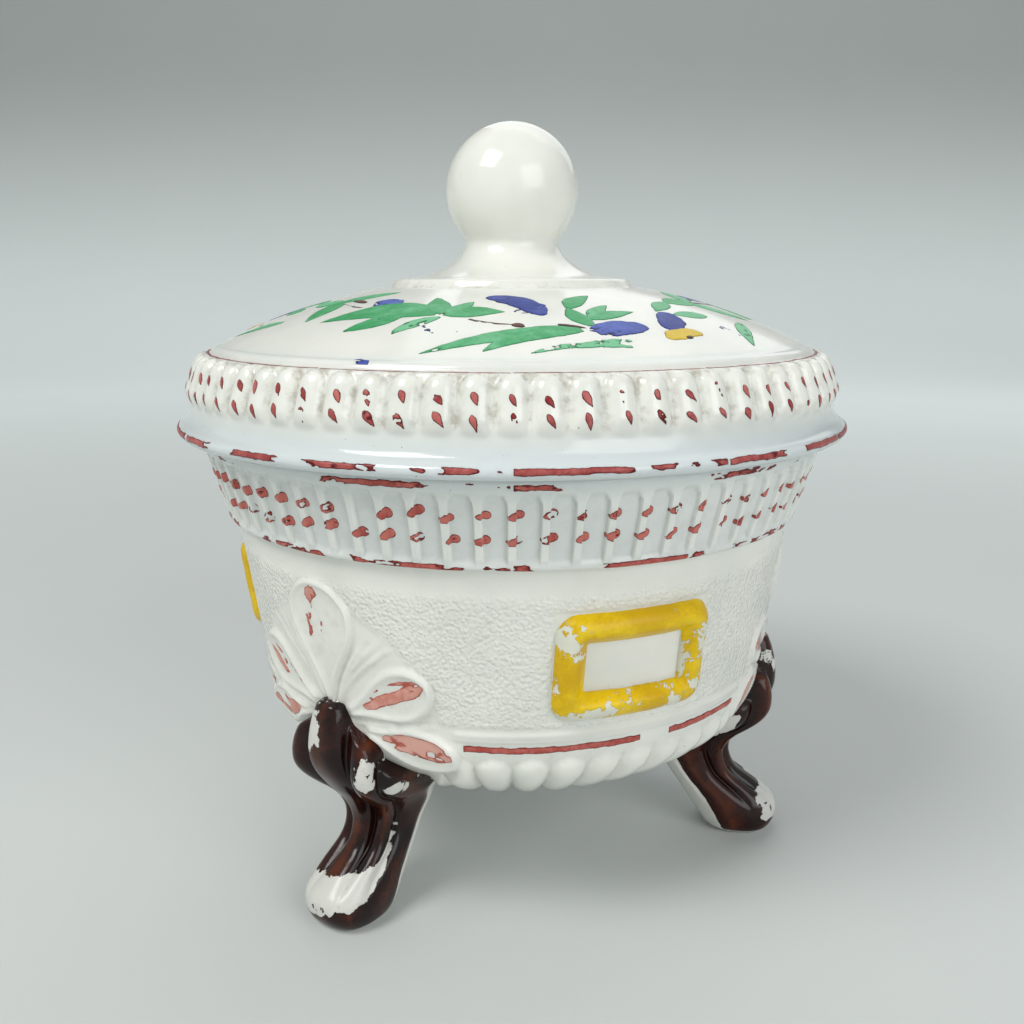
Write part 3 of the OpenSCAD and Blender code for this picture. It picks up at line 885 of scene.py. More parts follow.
@dataclass
class Dish:
    """The glass of the dish: rim, ribbed band, pebbled wall, palmettes, gadroons and boss."""

    height: float = 81.0
    rim_r: float = 57.0
    wall_t: float = 4.5
    band_h: float = 14.6
    band_taper: float = 3.9
    lip_h: float = 2.4
    band_foot: float = 0.9
    ledge: float = 1.3
    belt_r: float = 47.6
    belt_z: float = 37.8
    belt_w: float = 1.2
    edge_round: float = 0.8
    rib_n: int = 72
    rib_w: float = 1.2
    rib_out: float = 0.7
    gadroon_n: int = 48
    gadroon_out: float = 1.4
    cup_depth: float = 19.0
    boss_r: float = 12.0
    boss_h: float = 6.6
    boss_root: float = 3.5
    palm_half: float = 27.5
    palm_z: float = 38.0
    buckle_z: float = 49.8
    panel: Pair = (13.9, 9.9)
    stipple_top: Pair = (62.8, 60.5)
    pebble_cell: Pair = (360 / 384, 0.82)
    boss_neck: float = 0.36
    soft: float = 0.28
    # Foot across and up, tilt, length, width, share of the neck, widest place.
    palm: Rows = (
        (0.0, 38.0, 0.0, 23.6, 13.8, 0.1, 0.74), (-2.4, 38.6, -65.0, 18.6, 8.8, 0.22, 0.7),
        (2.4, 38.6, 65.0, 18.6, 8.8, 0.22, 0.7), (-5.6, 36.7, -102.0, 17.2, 7.4, 0.3, 0.6),
        (5.6, 36.7, 102.0, 17.2, 7.4, 0.3, 0.6),
    )
    # Reach sideways and height.
    upper_veins: Rows = (
        (8.6, 15.2), (11.2, 15.8), (13.8, 15.0),
    )
    # Height of the foot and rise.
    lower_veins: Rows = (
        (36.6, 2.4), (37.4, 3.2), (38.2, 3.8),
    )

    def __post_init__(self) -> None:
        """Works out the sizes that follow from the others, and the outline."""
        self.neck_z = self.height - self.band_h
        self.neck_r = self.rim_r - self.band_taper - self.ledge
        self.cup_z = self.belt_z - self.belt_w
        self.cup_r = float(self.wall_r(self.cup_z))
        self.lip_z = self.height - self.lip_h
        self.foot_z = self.neck_z + self.band_foot
        self.grain = Grain(5)
        self.cup_end = math.degrees(math.acos((self.boss_r + self.boss_root) / self.cup_r))
        self.ground = Turned(self.outline(), self.soft, self.relief)

    def wall_r(self, z: Array) -> Array:
        """Radius of the wall at height z."""
        return self.belt_r + (self.neck_r - self.belt_r) * (z - self.belt_z) / (self.neck_z - self.belt_z)

    def band_r(self, z: Array) -> Array:
        """Radius of the band's outer face at height z."""
        top = self.height - self.edge_round
        return self.rim_r - self.band_taper * (top - z) / (self.band_h - self.edge_round)

    def surface_r(self, z: Array) -> Array:
        """Radius of the plain outside at height z, on the wall or on the cup."""
        drop = np.clip((self.cup_z - np.asarray(z, float)) / self.cup_depth, 0, 1)
        return np.where(z >= self.cup_z, self.wall_r(z), self.cup_r * np.sqrt(1 - drop**2))

    def cup(self, low: float, high: float, count: int, inset: float) -> list[Pair]:
        """Points of the cup's round bottom.

        Args:
            low: First angle below the edge, in degrees.
            high: Last angle.
            count: Number of points.
            inset: How far inside the outer face.

        Returns:
            (radius, height) pairs.
        """
        a = arc(low, high, count)
        r, b = self.cup_r - inset, self.cup_depth - inset
        return list(zip(r * np.cos(a), self.cup_z - b * np.sin(a)))

    def outline(self) -> list[Pair]:
        """The glass from the middle of the inside, over the rim, to the middle of the boss.

        Returns:
            (radius, height) pairs.
        """
        inner, rim_in, top = self.rim_r - self.wall_t, self.edge_round, self.height
        bulb, root = arc(0, 90, 20), arc(8, 82, 10)
        mid = self.cup_z - self.cup_depth - self.boss_neck * self.boss_h
        deep = self.cup_z - self.cup_depth * math.sin(math.radians(self.cup_end)) - mid
        out = self.rib_out
        lip, foot = self.lip_z - out, self.foot_z + out
        return [
            *self.cup(90, 0, 40, self.wall_t),
            (self.neck_r - self.wall_t, self.neck_z),
            (inner, top - rim_in),
            (inner + rim_in, top),
            (self.rim_r - rim_in, top),
            (self.rim_r, top - rim_in),
            (self.band_r(self.lip_z), self.lip_z),
            (self.band_r(lip) - out, lip),
            (self.band_r(foot) - out, foot),
            (self.band_r(self.foot_z), self.foot_z),
            (self.band_r(self.neck_z), self.neck_z),
            (self.neck_r, self.neck_z),
            *self.cup(0, self.cup_end, 50, 0.0),
            *zip(self.boss_r + self.boss_root * (1 - np.sin(root)), mid + deep * np.cos(root)),
            *zip(self.boss_r * np.cos(bulb), mid - (1 - self.boss_neck) * self.boss_h * np.sin(bulb)),
        ]

    def ribs(self, az: Array, r: Array, z: Array) -> Array:
        """Height of the ribs that stand in the band's hollow.

        Args:
            az: Angles from the front.
            r: Radius of the outline.
            z: Height above the soles.

        Returns:
            Height over the outline.
        """
        pitch = 360 / self.rib_n
        off = np.abs((az / pitch + 0.5) % 1 - 0.5) * np.radians(pitch) * r
        flare = 0.55 * np.exp(-np.clip(self.lip_z - self.rib_out - z, 0, 9) / 0.5)
        half, soft = self.rib_w / 2 + flare, 0.1
        bar = ramp01(off, half + soft, half - soft)
        inside = ramp01(z, self.foot_z, self.foot_z + self.rib_out)
        return bar * self.rib_out * inside * ramp01(z, self.lip_z, self.lip_z - self.rib_out)

    def petals(self, x: Array, z: Array) -> Array:
        """Height of a palmette: one upright petal, four side petals and the fine lines between them.

        Args:
            x: Distance round the wall from the leg's middle.
            z: Height above the soles.

        Returns:
            Height over the wall.
        """
        high = np.zeros(np.broadcast(x, z).shape)
        for x0, z0, tilt, length, width, neck, widest in self.palm:
            c, s = heading(tilt)
            t = ((x - x0) * s + (z - z0) * c) / length
            across = (x - x0) * c - (z - z0) * s
            grow = neck + (1 - neck) * ramp01(t, 0.08, widest)
            round_end = np.sqrt(np.clip(1 - ((t - widest) / (1 - widest)) ** 2, 0, 1))
            half = width / 2 * np.where(t > widest, round_end, grow)
            tip = (np.hypot(across * 2 / width, (t - widest) / (1 - widest)) - 1) * width / 2
            deep = np.where(t > widest, -tip, half - np.abs(across))
            spoon = 0.5 * ramp01(deep, -0.5, 0.4) - 0.16 * ramp01(deep, 0.9, 3.2)
            spoon = spoon + 0.42 * bell(deep - 0.5, 0.48)
            high = np.maximum(high, spoon * ramp01(t, 0.0, 0.14))
        for reach, lean in self.upper_veins:
            t = np.clip((z - self.palm_z) / lean, 0, 1.2)
            across = (np.abs(x) - 1.2 - reach * t**1.7) * np.clip(1.1 - 0.45 * t, 0.5, 1)
            crest = 0.46 * bell(across, 0.5) * ramp01(t, 1.02, 0.7) * ramp01(t, 0.02, 0.2)
            high = np.maximum(high, crest)
        for foot, rise in self.lower_veins:
            t = np.clip((np.abs(x) - 3.4) / 16.5, 0, 1.2)
            across = z - foot - rise * np.clip(t, 0, 1) ** 0.55
            crest = 0.42 * bell(across, 0.45) * ramp01(t, 1.04, 0.75) * ramp01(t, 0.02, 0.2)
            high = np.maximum(high, crest)
        return high

    def gadroons(self, az: Array, r: Array, z: Array) -> tuple[Array, Array]:
        """Height of the gadroons on the cup, and how deep in a valley a place is.

        Args:
            az: Angles from the front.
            r: Radius of the plain cup.
            z: Height above the soles.

        Returns:
            Height over the cup, and 0 on a crest to 1 in a valley.
        """
        fall = np.degrees(np.arcsin(np.clip((self.cup_z - z) / self.cup_depth, 0, 1)))
        fall = np.where(r < self.boss_r * 0.9, 90, fall)
        u = (az * self.gadroon_n / 360 % 1) * 2 - 1
        beside, narrower, edge = 24.5, 10.0, 4.5
        start, bow, rise, middle = 9.2, 6.5, 9, 40
        end, slim = self.cup_end, self.cup_end - 14
        clear = beside - narrower * ramp01(fall, 14, middle)
        share = ramp01(np.abs(nearest(az, LEG_AZ)), clear, clear + edge)
        head = domed((fall - start - bow * (1 - np.sqrt(1 - u**2))) / rise)
        tail = 1 - 0.3 * ramp01(fall, middle, slim) - 0.6 * ramp01(fall, slim, end)
        tail = tail * ramp01(fall, end, end - 4)
        cross = (1 - np.abs(u) ** 2.3) ** 0.82
        on = (fall > 5) & (fall < end) & (r > self.boss_r * 0.93) & (z < self.cup_z)
        high = self.gadroon_out * cross * head * tail * share
        return np.where(on, high, 0), np.where(on, share * (1 - cross), 0)

    def relief(self, az: Array, r: Array, z: Array) -> dict[str, Array]:
        """Everything that stands out of the dish's plain outline.

        Args:
            az: Angles from the front, in degrees.
            r: Radius of the outline.
            z: Height of the outline.

        Returns:
            The lift, and the values stipple, thin and hollow.
        """
        az, r, z = np.broadcast_arrays(az, r, z)
        half = self.wall_t / 2
        outer = r > self.surface_r(np.minimum(z, self.neck_z)) - half
        outer = np.where(z > self.neck_z, r > self.band_r(z) - half, outer) & (z < self.height - 0.4)
        ribs = self.ribs(az, r, z) * outer
        gadroons, valley = (part * outer for part in self.gadroons(az, r, z))
        leg = nearest(az, LEG_AZ)
        x = np.radians(leg) * r
        on_wall = outer & (z < self.neck_z - 0.5) & (z > self.cup_z - 7)
        petals = np.where(on_wall, self.petals(x, z), 0)
        over = z - self.belt_z
        belt = bell(over - 0.45, 0.3) + bell(over + 0.4, 0.3)
        belt = 0.42 * belt * ramp01(np.abs(leg), self.palm_half - 2, self.palm_half) * on_wall
        gap = np.abs(nearest(az, GAP_AZ)) * np.pi / 180 * r
        beyond = np.maximum(gap / self.panel[0], np.abs(z - self.buckle_z) / self.panel[1])
        stipple = on_wall * ramp01(z, *self.stipple_top) * ramp01(over, 1.2, 2.4)
        stipple = stipple * (1 - ramp01(beyond, 1.0, 0.94)) * ramp01(petals, 0.25, 0.0)
        stipple = stipple * ramp01(np.hypot(x, z - self.palm_z), 19.0, 21.0)
        in_band = outer * ramp01(z, self.neck_z - 0.4, self.neck_z + 0.6)
        # beside marks the band's panels between the ribs, which get painted shade below.
        beside = in_band * ramp01(ribs, 0.45, 0.1) * ramp01(z, self.lip_z, self.lip_z - 1.5)
        pebbles = 0.05 * self.grain.plain(az / self.pebble_cell[0], z / self.pebble_cell[1]) * stipple
        # Painted shade: the panels between the ribs are tinted bluish through thin and darker through hollow.
        # thin is also the bluish tint near the rim and on the upper band; hollow also darkens the gadroon
        # valleys and the low parts of the palmettes.
        thin = 0.32 * beside + 0.55 * ramp01(z, 76.5, 80) + 0.2 * ramp01(z, 62, 70)
        hollow = 0.25 * beside + 0.4 * valley + 0.35 * ramp01(petals, 0.9, 0.1) * (petals > 0.02)
        return {
            "lift": np.maximum(petals, gadroons) + ribs + belt + pebbles,
            "stipple": stipple,
            "thin": np.clip(thin, 0, 1),
            "hollow": np.clip(hollow, 0, 1),
        }

    def dress(self) -> None:
        """Builds the glass of the dish as one pressing."""
        ground, mouth = self.ground, self.ground.mouth
        heights = (self.lip_z + 0.3, self.foot_z, self.neck_z - 1, self.cup_z)
        s = [ground.station(z, mouth) for z in heights]
        end = float(ground.s[-1])
        rows = steps(
            (0.6, mouth - 4, 2.2), (mouth - 4, s[0], 0.3), (s[0], s[1], 0.42), (s[1], s[2], 0.22),
            (s[2], s[3], 0.4), (s[3], s[3] + 12, 0.4), (s[3] + 12, end - 0.3, 0.75), (end - 0.3, end, 1.0),
        )
        palms = [f"palmette_{n}" for n in LEG_NAMES]
        off = np.array([0.3, 0.48, 0.55, 0.62, 0.7, 0.82, 1.2, 1.6, 2.05]) / 4.9
        cell = np.concatenate([[0], off, [0.5], 1 - off[::-1]])
        columns = (np.arange(self.rib_n)[:, None] + cell).reshape(-1) * 360 / self.rib_n
        ground.skin(columns, rows).piece(
            "dish_glass",
            OpalGlass().material("opal_glass_dish"),
            Body.DISH,
            Slot.OPAL,
            ("bowl", "gadrooned_cup", "base_boss", "rim_ribs", *palms),
        )


@dataclass
class Legs:
    """Three fluted cabriole legs, enamelled brown on the outside and bare behind."""

    dish: Dish
    top_z: float = 41.0
    waist_z: float = 17.0
    sole_round: float = 1.2
    back_heel: float = 40.0
    back_slope: float = 0.68
    ridges: int = 5
    fan: float = 118.0
    flute: float = 2.2
    square: float = 0.78
    rows: int = 120
    columns: int = 176
    # Angle round the leg, height of its top there.
    arch: Rows = (
        (0, 40.8), (17, 39.9), (27, 36.6), (47, 34.6), (62, 32.6), (76, 29.6), (94, 27.4), (118, 22.5),
    )
    # Height, distance of the front from the axis.
    front: Rows = (
        (0, 51.2), (1.2, 52.6), (3.4, 53.5), (6, 53.1), (8.8, 49.9), (12, 45.6), (15.2, 44.0), (18, 44.1),
        (21, 45.6), (24.5, 48.4), (28, 50.8), (31, 51.9), (34.5, 51.9), (37.5, 51.3), (39.4, 50.6),
        (40.4, 49.9),
    )
    # Height, half the width.
    sides: Rows = (
        (0, 5.0), (1.0, 6.2), (3.5, 6.9), (8, 6.5), (12, 5.9), (15, 5.8), (19, 7.0), (23, 9.2),
        (27, 10.6), (31, 10.5), (35, 9.6), (38, 8.8), (41, 7.6),
    )
    # Height, share of the flutes' depth.
    flutes: Rows = (
        (0, 0.02), (6, 0.12), (9.5, 0.75), (15, 0.9), (24, 1.1), (32, 1.2), (41, 1.1),
    )
    # Angle, height, width and height of a worn spot.
    spots: Rows = (
        (-7, 36, 17, 4.0), (50, 31, 19, 3.2), (88, 24.6, 17, 2.0), (-84, 25, 11, 4.0), (70, 11, 10, 5),
        (-30, 20, 8, 2),
    )

    def section(self, z: Array, t: Array) -> tuple[Array, Array, Array]:
        """Outline of the leg at height z and angle t round it.

        Args:
            z: Heights.
            t: Angles round the leg, 0 outwards.

        Returns:
            Distance from the axis, distance sideways, and how far a place is up a ridge.
        """
        phase = np.clip(t / self.fan, -1, 1) * self.ridges / 2
        lobe = np.abs((phase + 0.5) % 1 - 0.5) * 2
        low, top, sole = self.waist_z, self.top_z, self.sole_round
        arch = curve_through(np.abs(t), self.arch)
        raised = np.where(z > low, low + (z - low) * (top - low) / (arch - low), z)
        wall = self.dish.surface_r(np.maximum(z, self.dish.cup_z - self.dish.cup_depth))
        front = (*self.front, (top, float(self.dish.wall_r(top)) - 0.4))
        sunk = ramp01(raised, top - 0.2, top + 0.6)
        out = curve_through(np.minimum(raised, top), front) * (1 - sunk) + (wall - 2.2) * sunk
        back = np.maximum(self.back_heel - self.back_slope * z, np.where(z > 18, wall - 4.4, 0))
        back = np.where(z < sole, back + sole * (1 - z / sole), back)
        side = curve_through(z, self.sides)
        c, s = np.cos(np.radians(t)), np.sin(np.radians(t))
        fade = np.sqrt(np.clip(np.cos(np.radians(t * 90 / self.fan)), 0, 1))
        depth = curve_through(z, self.flutes)
        groove = self.flute * depth * lobe**2.4 * np.where(np.abs(t) < self.fan, 1, 0) * fade
        x = (out + back) / 2 + (out - back) / 2 * signed_power(c, self.square) - groove * c
        y = side * signed_power(s, self.square) - groove * s
        return x, y * (1 - 0.1 * sunk), 1 - lobe

    def dress(self) -> None:
        """Builds the three legs with their worn enamel."""
        # The last setting lays painted shade in the legs' flute valleys.
        finish = FlakedEnamel(
            coat=ink(64, 21, 10), dark=ink(20, 5, 4), thin=ink(150, 80, 32),
            thinness=0.25, gloss=0.1, crease_shade=0.8,
        ).material("brown_leg_enamel")
        z, t = np.meshgrid(
            np.linspace(0, 1, self.rows) ** 0.92 * self.top_z,
            np.arange(self.columns) * 360 / self.columns - 180,
            indexing="ij",
        )
        x, y, ridge = self.section(z, t)
        for number, (az, name) in enumerate(zip(LEG_AZ, LEG_NAMES)):
            c, s = heading(az)
            out, side = np.array([s, -c]), np.array([c, s])
            flat = x[..., None] * out + y[..., None] * side
            points = np.concatenate([flat, z[..., None]], -1)
            draw = np.random.default_rng(40 + number)
            toe = ((z - 5.8 - 0.03 * np.clip(t, 0, 90)) / 3.2) ** 4 + ((t - 6) / 66) ** 4
            wear = 1.15 * np.exp(-toe) + 0.5 * ramp01(z, 2.2, 0.4)
            for t0, z0, wide, tall in self.spots:
                t0, z0 = t0 + draw.normal(0, 5), z0 + draw.normal(0, 0.8)
                spot = ((t - t0) / wide) ** 2 + ((z - z0) / tall) ** 2
                wear = wear + draw.uniform(0.9, 1.15) * np.exp(-spot)
            wear = wear + 0.18 * ridge**2
            paint = ramp01(np.abs(t), 121, 108) * ramp01(z, 0.2, 0.9) * (1 - 0.4 * ramp01(z, 39, 42))
            ends = [np.append(points[k, :, :2].mean(0), z[k, 0]) for k in (0, -1)]
            values = {"paint": paint, "wear": np.clip(wear, 0, 1), "ridge": ridge}
            skin = tube(points[::-1], {k: v[::-1] for k, v in values.items()}, ends[1], ends[0])
            skin.piece(f"leg_{name}_glass", finish, Body.DISH, Slot.BROWN, (f"leg_{name}",))


@dataclass
class Buckles:
    """Three moulded buckle frames on the wall, enamelled yellow."""

    dish: Dish
    width: float = 26.5
    height: float = 18.4
    bar: float = 5.0
    out: float = 2.4
    corner: float = 3.4
    inner_corner: float = 0.5
    corner_n: int = 10
    side_n: int = 22
    # Way across a bar, 0 outside to 1 inside, and its height there.
    share: tuple[float, ...] = (
        -0.03, 0.0, 0.02, 0.08, 0.18, 0.3, 0.42, 0.54, 0.62, 0.68, 0.76, 0.85, 0.94, 1.0, 1.0,
    )
    high: tuple[float, ...] = (
        -0.9, -0.2, 0.3, 0.85, 1.5, 2.0, 2.28, 2.4, 2.38, 2.25, 1.85, 1.3, 0.75, 0.3, -0.9,
    )

    def path(self, width: float, height: float, corner: float) -> Array:
        """Points round a rectangle with round corners, matched by share of each side.

        Args:
            width: Width of the rectangle.
            height: Height of it.
            corner: Radius of its corners.

        Returns:
            Points in order, starting at the right.
        """
        w, h = width / 2 - corner, height / 2 - corner
        middles, points = ((w, h), (-w, h), (-w, -h), (w, -h)), []
        for k, (cx, cy) in enumerate(middles):
            for a in arc(90 * k, 90 * k + 90, self.corner_n):
                points.append((cx + corner * math.cos(a), cy + corner * math.sin(a)))
            (nx, ny), (ax, ay), (c, s) = middles[(k + 1) % 4], points[-1], heading(90 * k + 90)
            bx, by = nx + corner * c, ny + corner * s
            for f in np.linspace(0, 1, self.side_n)[1:-1]:
                points.append((ax + (bx - ax) * f, ay + (by - ay) * f))
        return np.array(points)

    def dress(self) -> None:
        """Builds the three frames with their worn enamel."""
        finish = FlakedEnamel(
            coat=ink(242, 204, 0), dark=ink(216, 172, 0), thin=ink(244, 222, 60),
            bare=ink(228, 228, 214), flake=260.0, thinness=0.3, gloss=0.3,
        ).material("yellow_buckle_enamel")
        outer = self.path(self.width, self.height, self.corner)
        inner = self.path(self.width - 2 * self.bar, self.height - 2 * self.bar, self.inner_corner)
        share = np.array(self.share)[:, None]
        high = np.array(self.high)[:, None] * self.out / max(self.high)
        flat = outer[None] * (1 - share[..., None]) + inner[None] * share[..., None]
        x, y = flat[..., 0], flat[..., 1]
        z = self.dish.buckle_z + y
        wall, whole = self.dish.wall_r(z), np.ones(x.shape)
        rows, cols = x.shape
        ring = np.arange(cols)
        after, end = (ring + 1) % cols, (rows - 1) * cols
        seam = np.stack([end + ring, ring, after, end + after], -1)
        quads = np.concatenate([sheet_quads(rows, cols, True), seam])[:, ::-1]
        for number, (az, name) in enumerate(zip(GAP_AZ, GAP_NAMES)):
            grain = Grain(60 + number)
            soft = 0.16 * grain.rich(x / 3, y / 3, 2) * (high > 0.5)
            r, turned = wall + high + soft, np.radians(az) + x / wall
            points = np.stack([r * np.sin(turned), -r * np.cos(turned), z], -1)
            wear = 0.43 + 0.55 * grain.rich(x / 5 + 9, y / 5, 2) + 0.3 * ramp01(y, -3, -7)
            wear = wear + 0.15 * ramp01(share, 0.7, 0.95)
            values = {
                "paint": whole * ramp01(high, -0.3, 0.2),
                "wear": np.clip(wear - 0.02, 0, 0.95),
                "ridge": whole * ramp01(high, 1.6, 2.4),
            }
            skin = Skin(points.reshape(-1, 3), quads, values={k: v.reshape(-1) for k, v in values.items()})
            skin.piece(f"buckle_{name}_frame", finish, Body.DISH, Slot.YELLOW, (f"buckle_{name}",))


ALL_ROUND = tuple((a, a + 30.0) for a in range(0, 360, 30))


@dataclass
class Liner:
    """Paints worn lines round a turned piece of glass."""

    ground: Turned
    film: float = 0.07
    cell: Pair = (0.2, 0.14)
    tone: float = 0.35

    def line(self, s: float, width: float, arcs: Sequence[Pair], seed: int, keep: float) -> list[Skin | None]:
        """A worn line painted round the glass.

        Args:
            s: Its place along the outline.
            width: Its width.
            arcs: (start, end) angles that it runs over.
            seed: Seed of its wear.
            keep: Share that is left, from 0 to 1.

        Returns:
            A strip for each arc, None where it has worn away.
        """
        grain, found = Grain(seed), []
        radius = self.ground.radius(s)
        for number, (start, end) in enumerate(arcs):
            length = math.radians(end - start) * radius
            along, across = np.arange(0, length, self.cell[0]), np.arange(-width, width + 0.1, self.cell[1])
            u, v = np.meshgrid(along, across)
            x = u + 40 * number
            gone = grain.rich(x / 9, x * 0 + 3.3, 3) + 0.5 * grain.rich(x / 2.2, v / 0.8, 3)
            left = (keep - 0.5) * 1.5 - gone
            side = width / 2 - np.abs(v + 0.12 * grain.plain(x / 4, x * 0))
            side = side + 0.16 * grain.rich(x / 0.9, v / 0.7 + 9, 2)
            depth = np.minimum(np.minimum(side, left * 1.2), np.minimum(u, length - u) - 0.2)
            found.append(coat(u, v, depth, self.ground.spot(start, s, radius), self.film, self.tone))
        return found


@dataclass
class DishPaint:
    """Red lines and dabs and pink petal strokes on the dish."""

    dish: Dish
    film: float = 0.07
    dab_rows: Pair = (75.1, 71.5)
    # Middle across and up, tilt, length, width.
    petal_rows: Rows = (
        (-0.8, 54.2, 2, 13.0, 4.2), (12.6, 43.6, 64, 12.5, 4.0), (-12.6, 43.6, -64, 12.0, 3.8),
        (15.6, 34.9, 100, 12.0, 4.4), (-15.6, 34.9, -100, 12.0, 4.2),
    )

    def dabs(self) -> list[Skin | None]:
        """Two rows of red dabs on the ribs, many of them worn.

        Returns:
            A film for each dab, None where it has worn away.
        """
        ground, dish, found = self.dish.ground, self.dish, []
        draw = np.random.default_rng(7)
        u, v = patch(4.0, 3.4, 0.1)
        for z in self.dab_rows:
            s0 = ground.station(z, ground.mouth)
            radius = ground.radius(s0)
            for k in range(dish.rib_n):
                az = k * 360 / dish.rib_n + draw.normal(0.55, 0.2)
                grain = Grain(int(draw.integers(SEEDS)))
                long, tall = draw.uniform(2.1, 2.7), draw.uniform(1.5, 2.0)
                x, y = tilted(u, v, draw.normal(-10, 9))
                depth = drop(x / long + 0.5, y, tall) + 0.1 * grain.rich(u / 0.45, v / 0.45, 2)
                bare = 0.8 - 1.45 * draw.beta(1.1, 3.4) + 0.7 * grain.rich(u / 0.9 + 5, v / 0.9, 3)
                depth = np.minimum(depth, bare + 0.5 * np.clip(0.3 - depth, -0.3, 0.3))
                place = ground.spot(az, s0 + draw.normal(0, 0.25), radius)
                found.append(coat(u, v, depth, place, self.film, float(draw.uniform(0.3, 1))))
        return found

    def strokes(self) -> list[Skin | None]:
        """Pink strokes down the middles of the petals, flaked.

        Returns:
            A film for each stroke, None where it has worn away.
        """
        ground, found = self.dish.ground, []
        part = ground.s > ground.mouth
        outside = (-ground.z[part], ground.s[part])
        draw = np.random.default_rng(19)
        for leg in LEG_AZ:
            for x0, z0, tilt, length, width in self.petal_rows:
                grain = Grain(int(draw.integers(SEEDS)))
                c, s = heading(tilt)
                u, v = patch(length + 2, width + 2, 0.17)
                t = u / length + 0.5
                half = width / 2 * np.sqrt(np.clip(t * (1 - t) * 4, 0, 1)) * (0.72 + 0.28 * t)
                depth = np.where((t > 0) & (t < 1), half - np.abs(v + 0.5 * np.sin(3 * t)), -0.5)
                depth = depth + 0.3 * grain.rich(u / 1.4, v / 0.7, 3)
                worn = draw.uniform(0.15, 0.75)
                depth = np.minimum(depth, 0.62 - worn + 0.9 * grain.rich(u / 2.6 + 7, v / 1.3, 3))
                radius = float(self.dish.surface_r(z0))

                def place(p: Array, q: Array, lift: Array) -> Array:
                    """Lays a stroke on its petal."""
                    x, z = x0 + p * s + q * c, z0 + p * c - q * s
                    return ground.point(leg + np.degrees(x / radius), np.interp(-z, *outside), lift)

                found.append(coat(u, v, depth, place, self.film, float(draw.uniform(0.2, 0.8))))
        return found

    def dress(self) -> None:
        """Builds the painted pieces of the dish."""
        red = BrushedEnamel(
            ink(100, 16, 15), ink(160, 54, 49), ink(202, 114, 103), 900.0, rim=0.24
        ).material("red_brush_enamel")
        pink = BrushedEnamel(
            ink(178, 88, 74), ink(200, 120, 104), ink(224, 172, 158), 700.0, 0.42
        ).material("pink_petal_enamel")
        ground, dish, liner = self.dish.ground, self.dish, Liner(self.dish.ground)
        heights = (dish.height - 1.45, dish.neck_z + 0.45, dish.cup_z - 0.9)
        lip, foot, belt = (ground.station(z, ground.mouth) for z in heights)
        rim = liner.line(lip, 1.0, ALL_ROUND, 3, 0.42) + liner.line(foot, 1.05, ALL_ROUND, 4, 0.5)
        arcs = [(a - 32.0, a + 3.5) for a in GAP_AZ] + [(a + 10, a + 32.0) for a in GAP_AZ]
        for name, skins, finish, nodes in (
            ("rim_red_strokes", rim, red, ("rim_red_lines",)),
            ("belt_red_strokes", liner.line(belt, 1.15, arcs, 5, 1.0), red, ("belt_red_lines",)),
            ("rib_red_dabs", self.dabs(), red, ()),
            ("petal_pink_strokes", self.strokes(), pink, ()),
        ):
            Skin.join(skins).piece(name, finish, Body.DISH, Slot.RED, nodes)


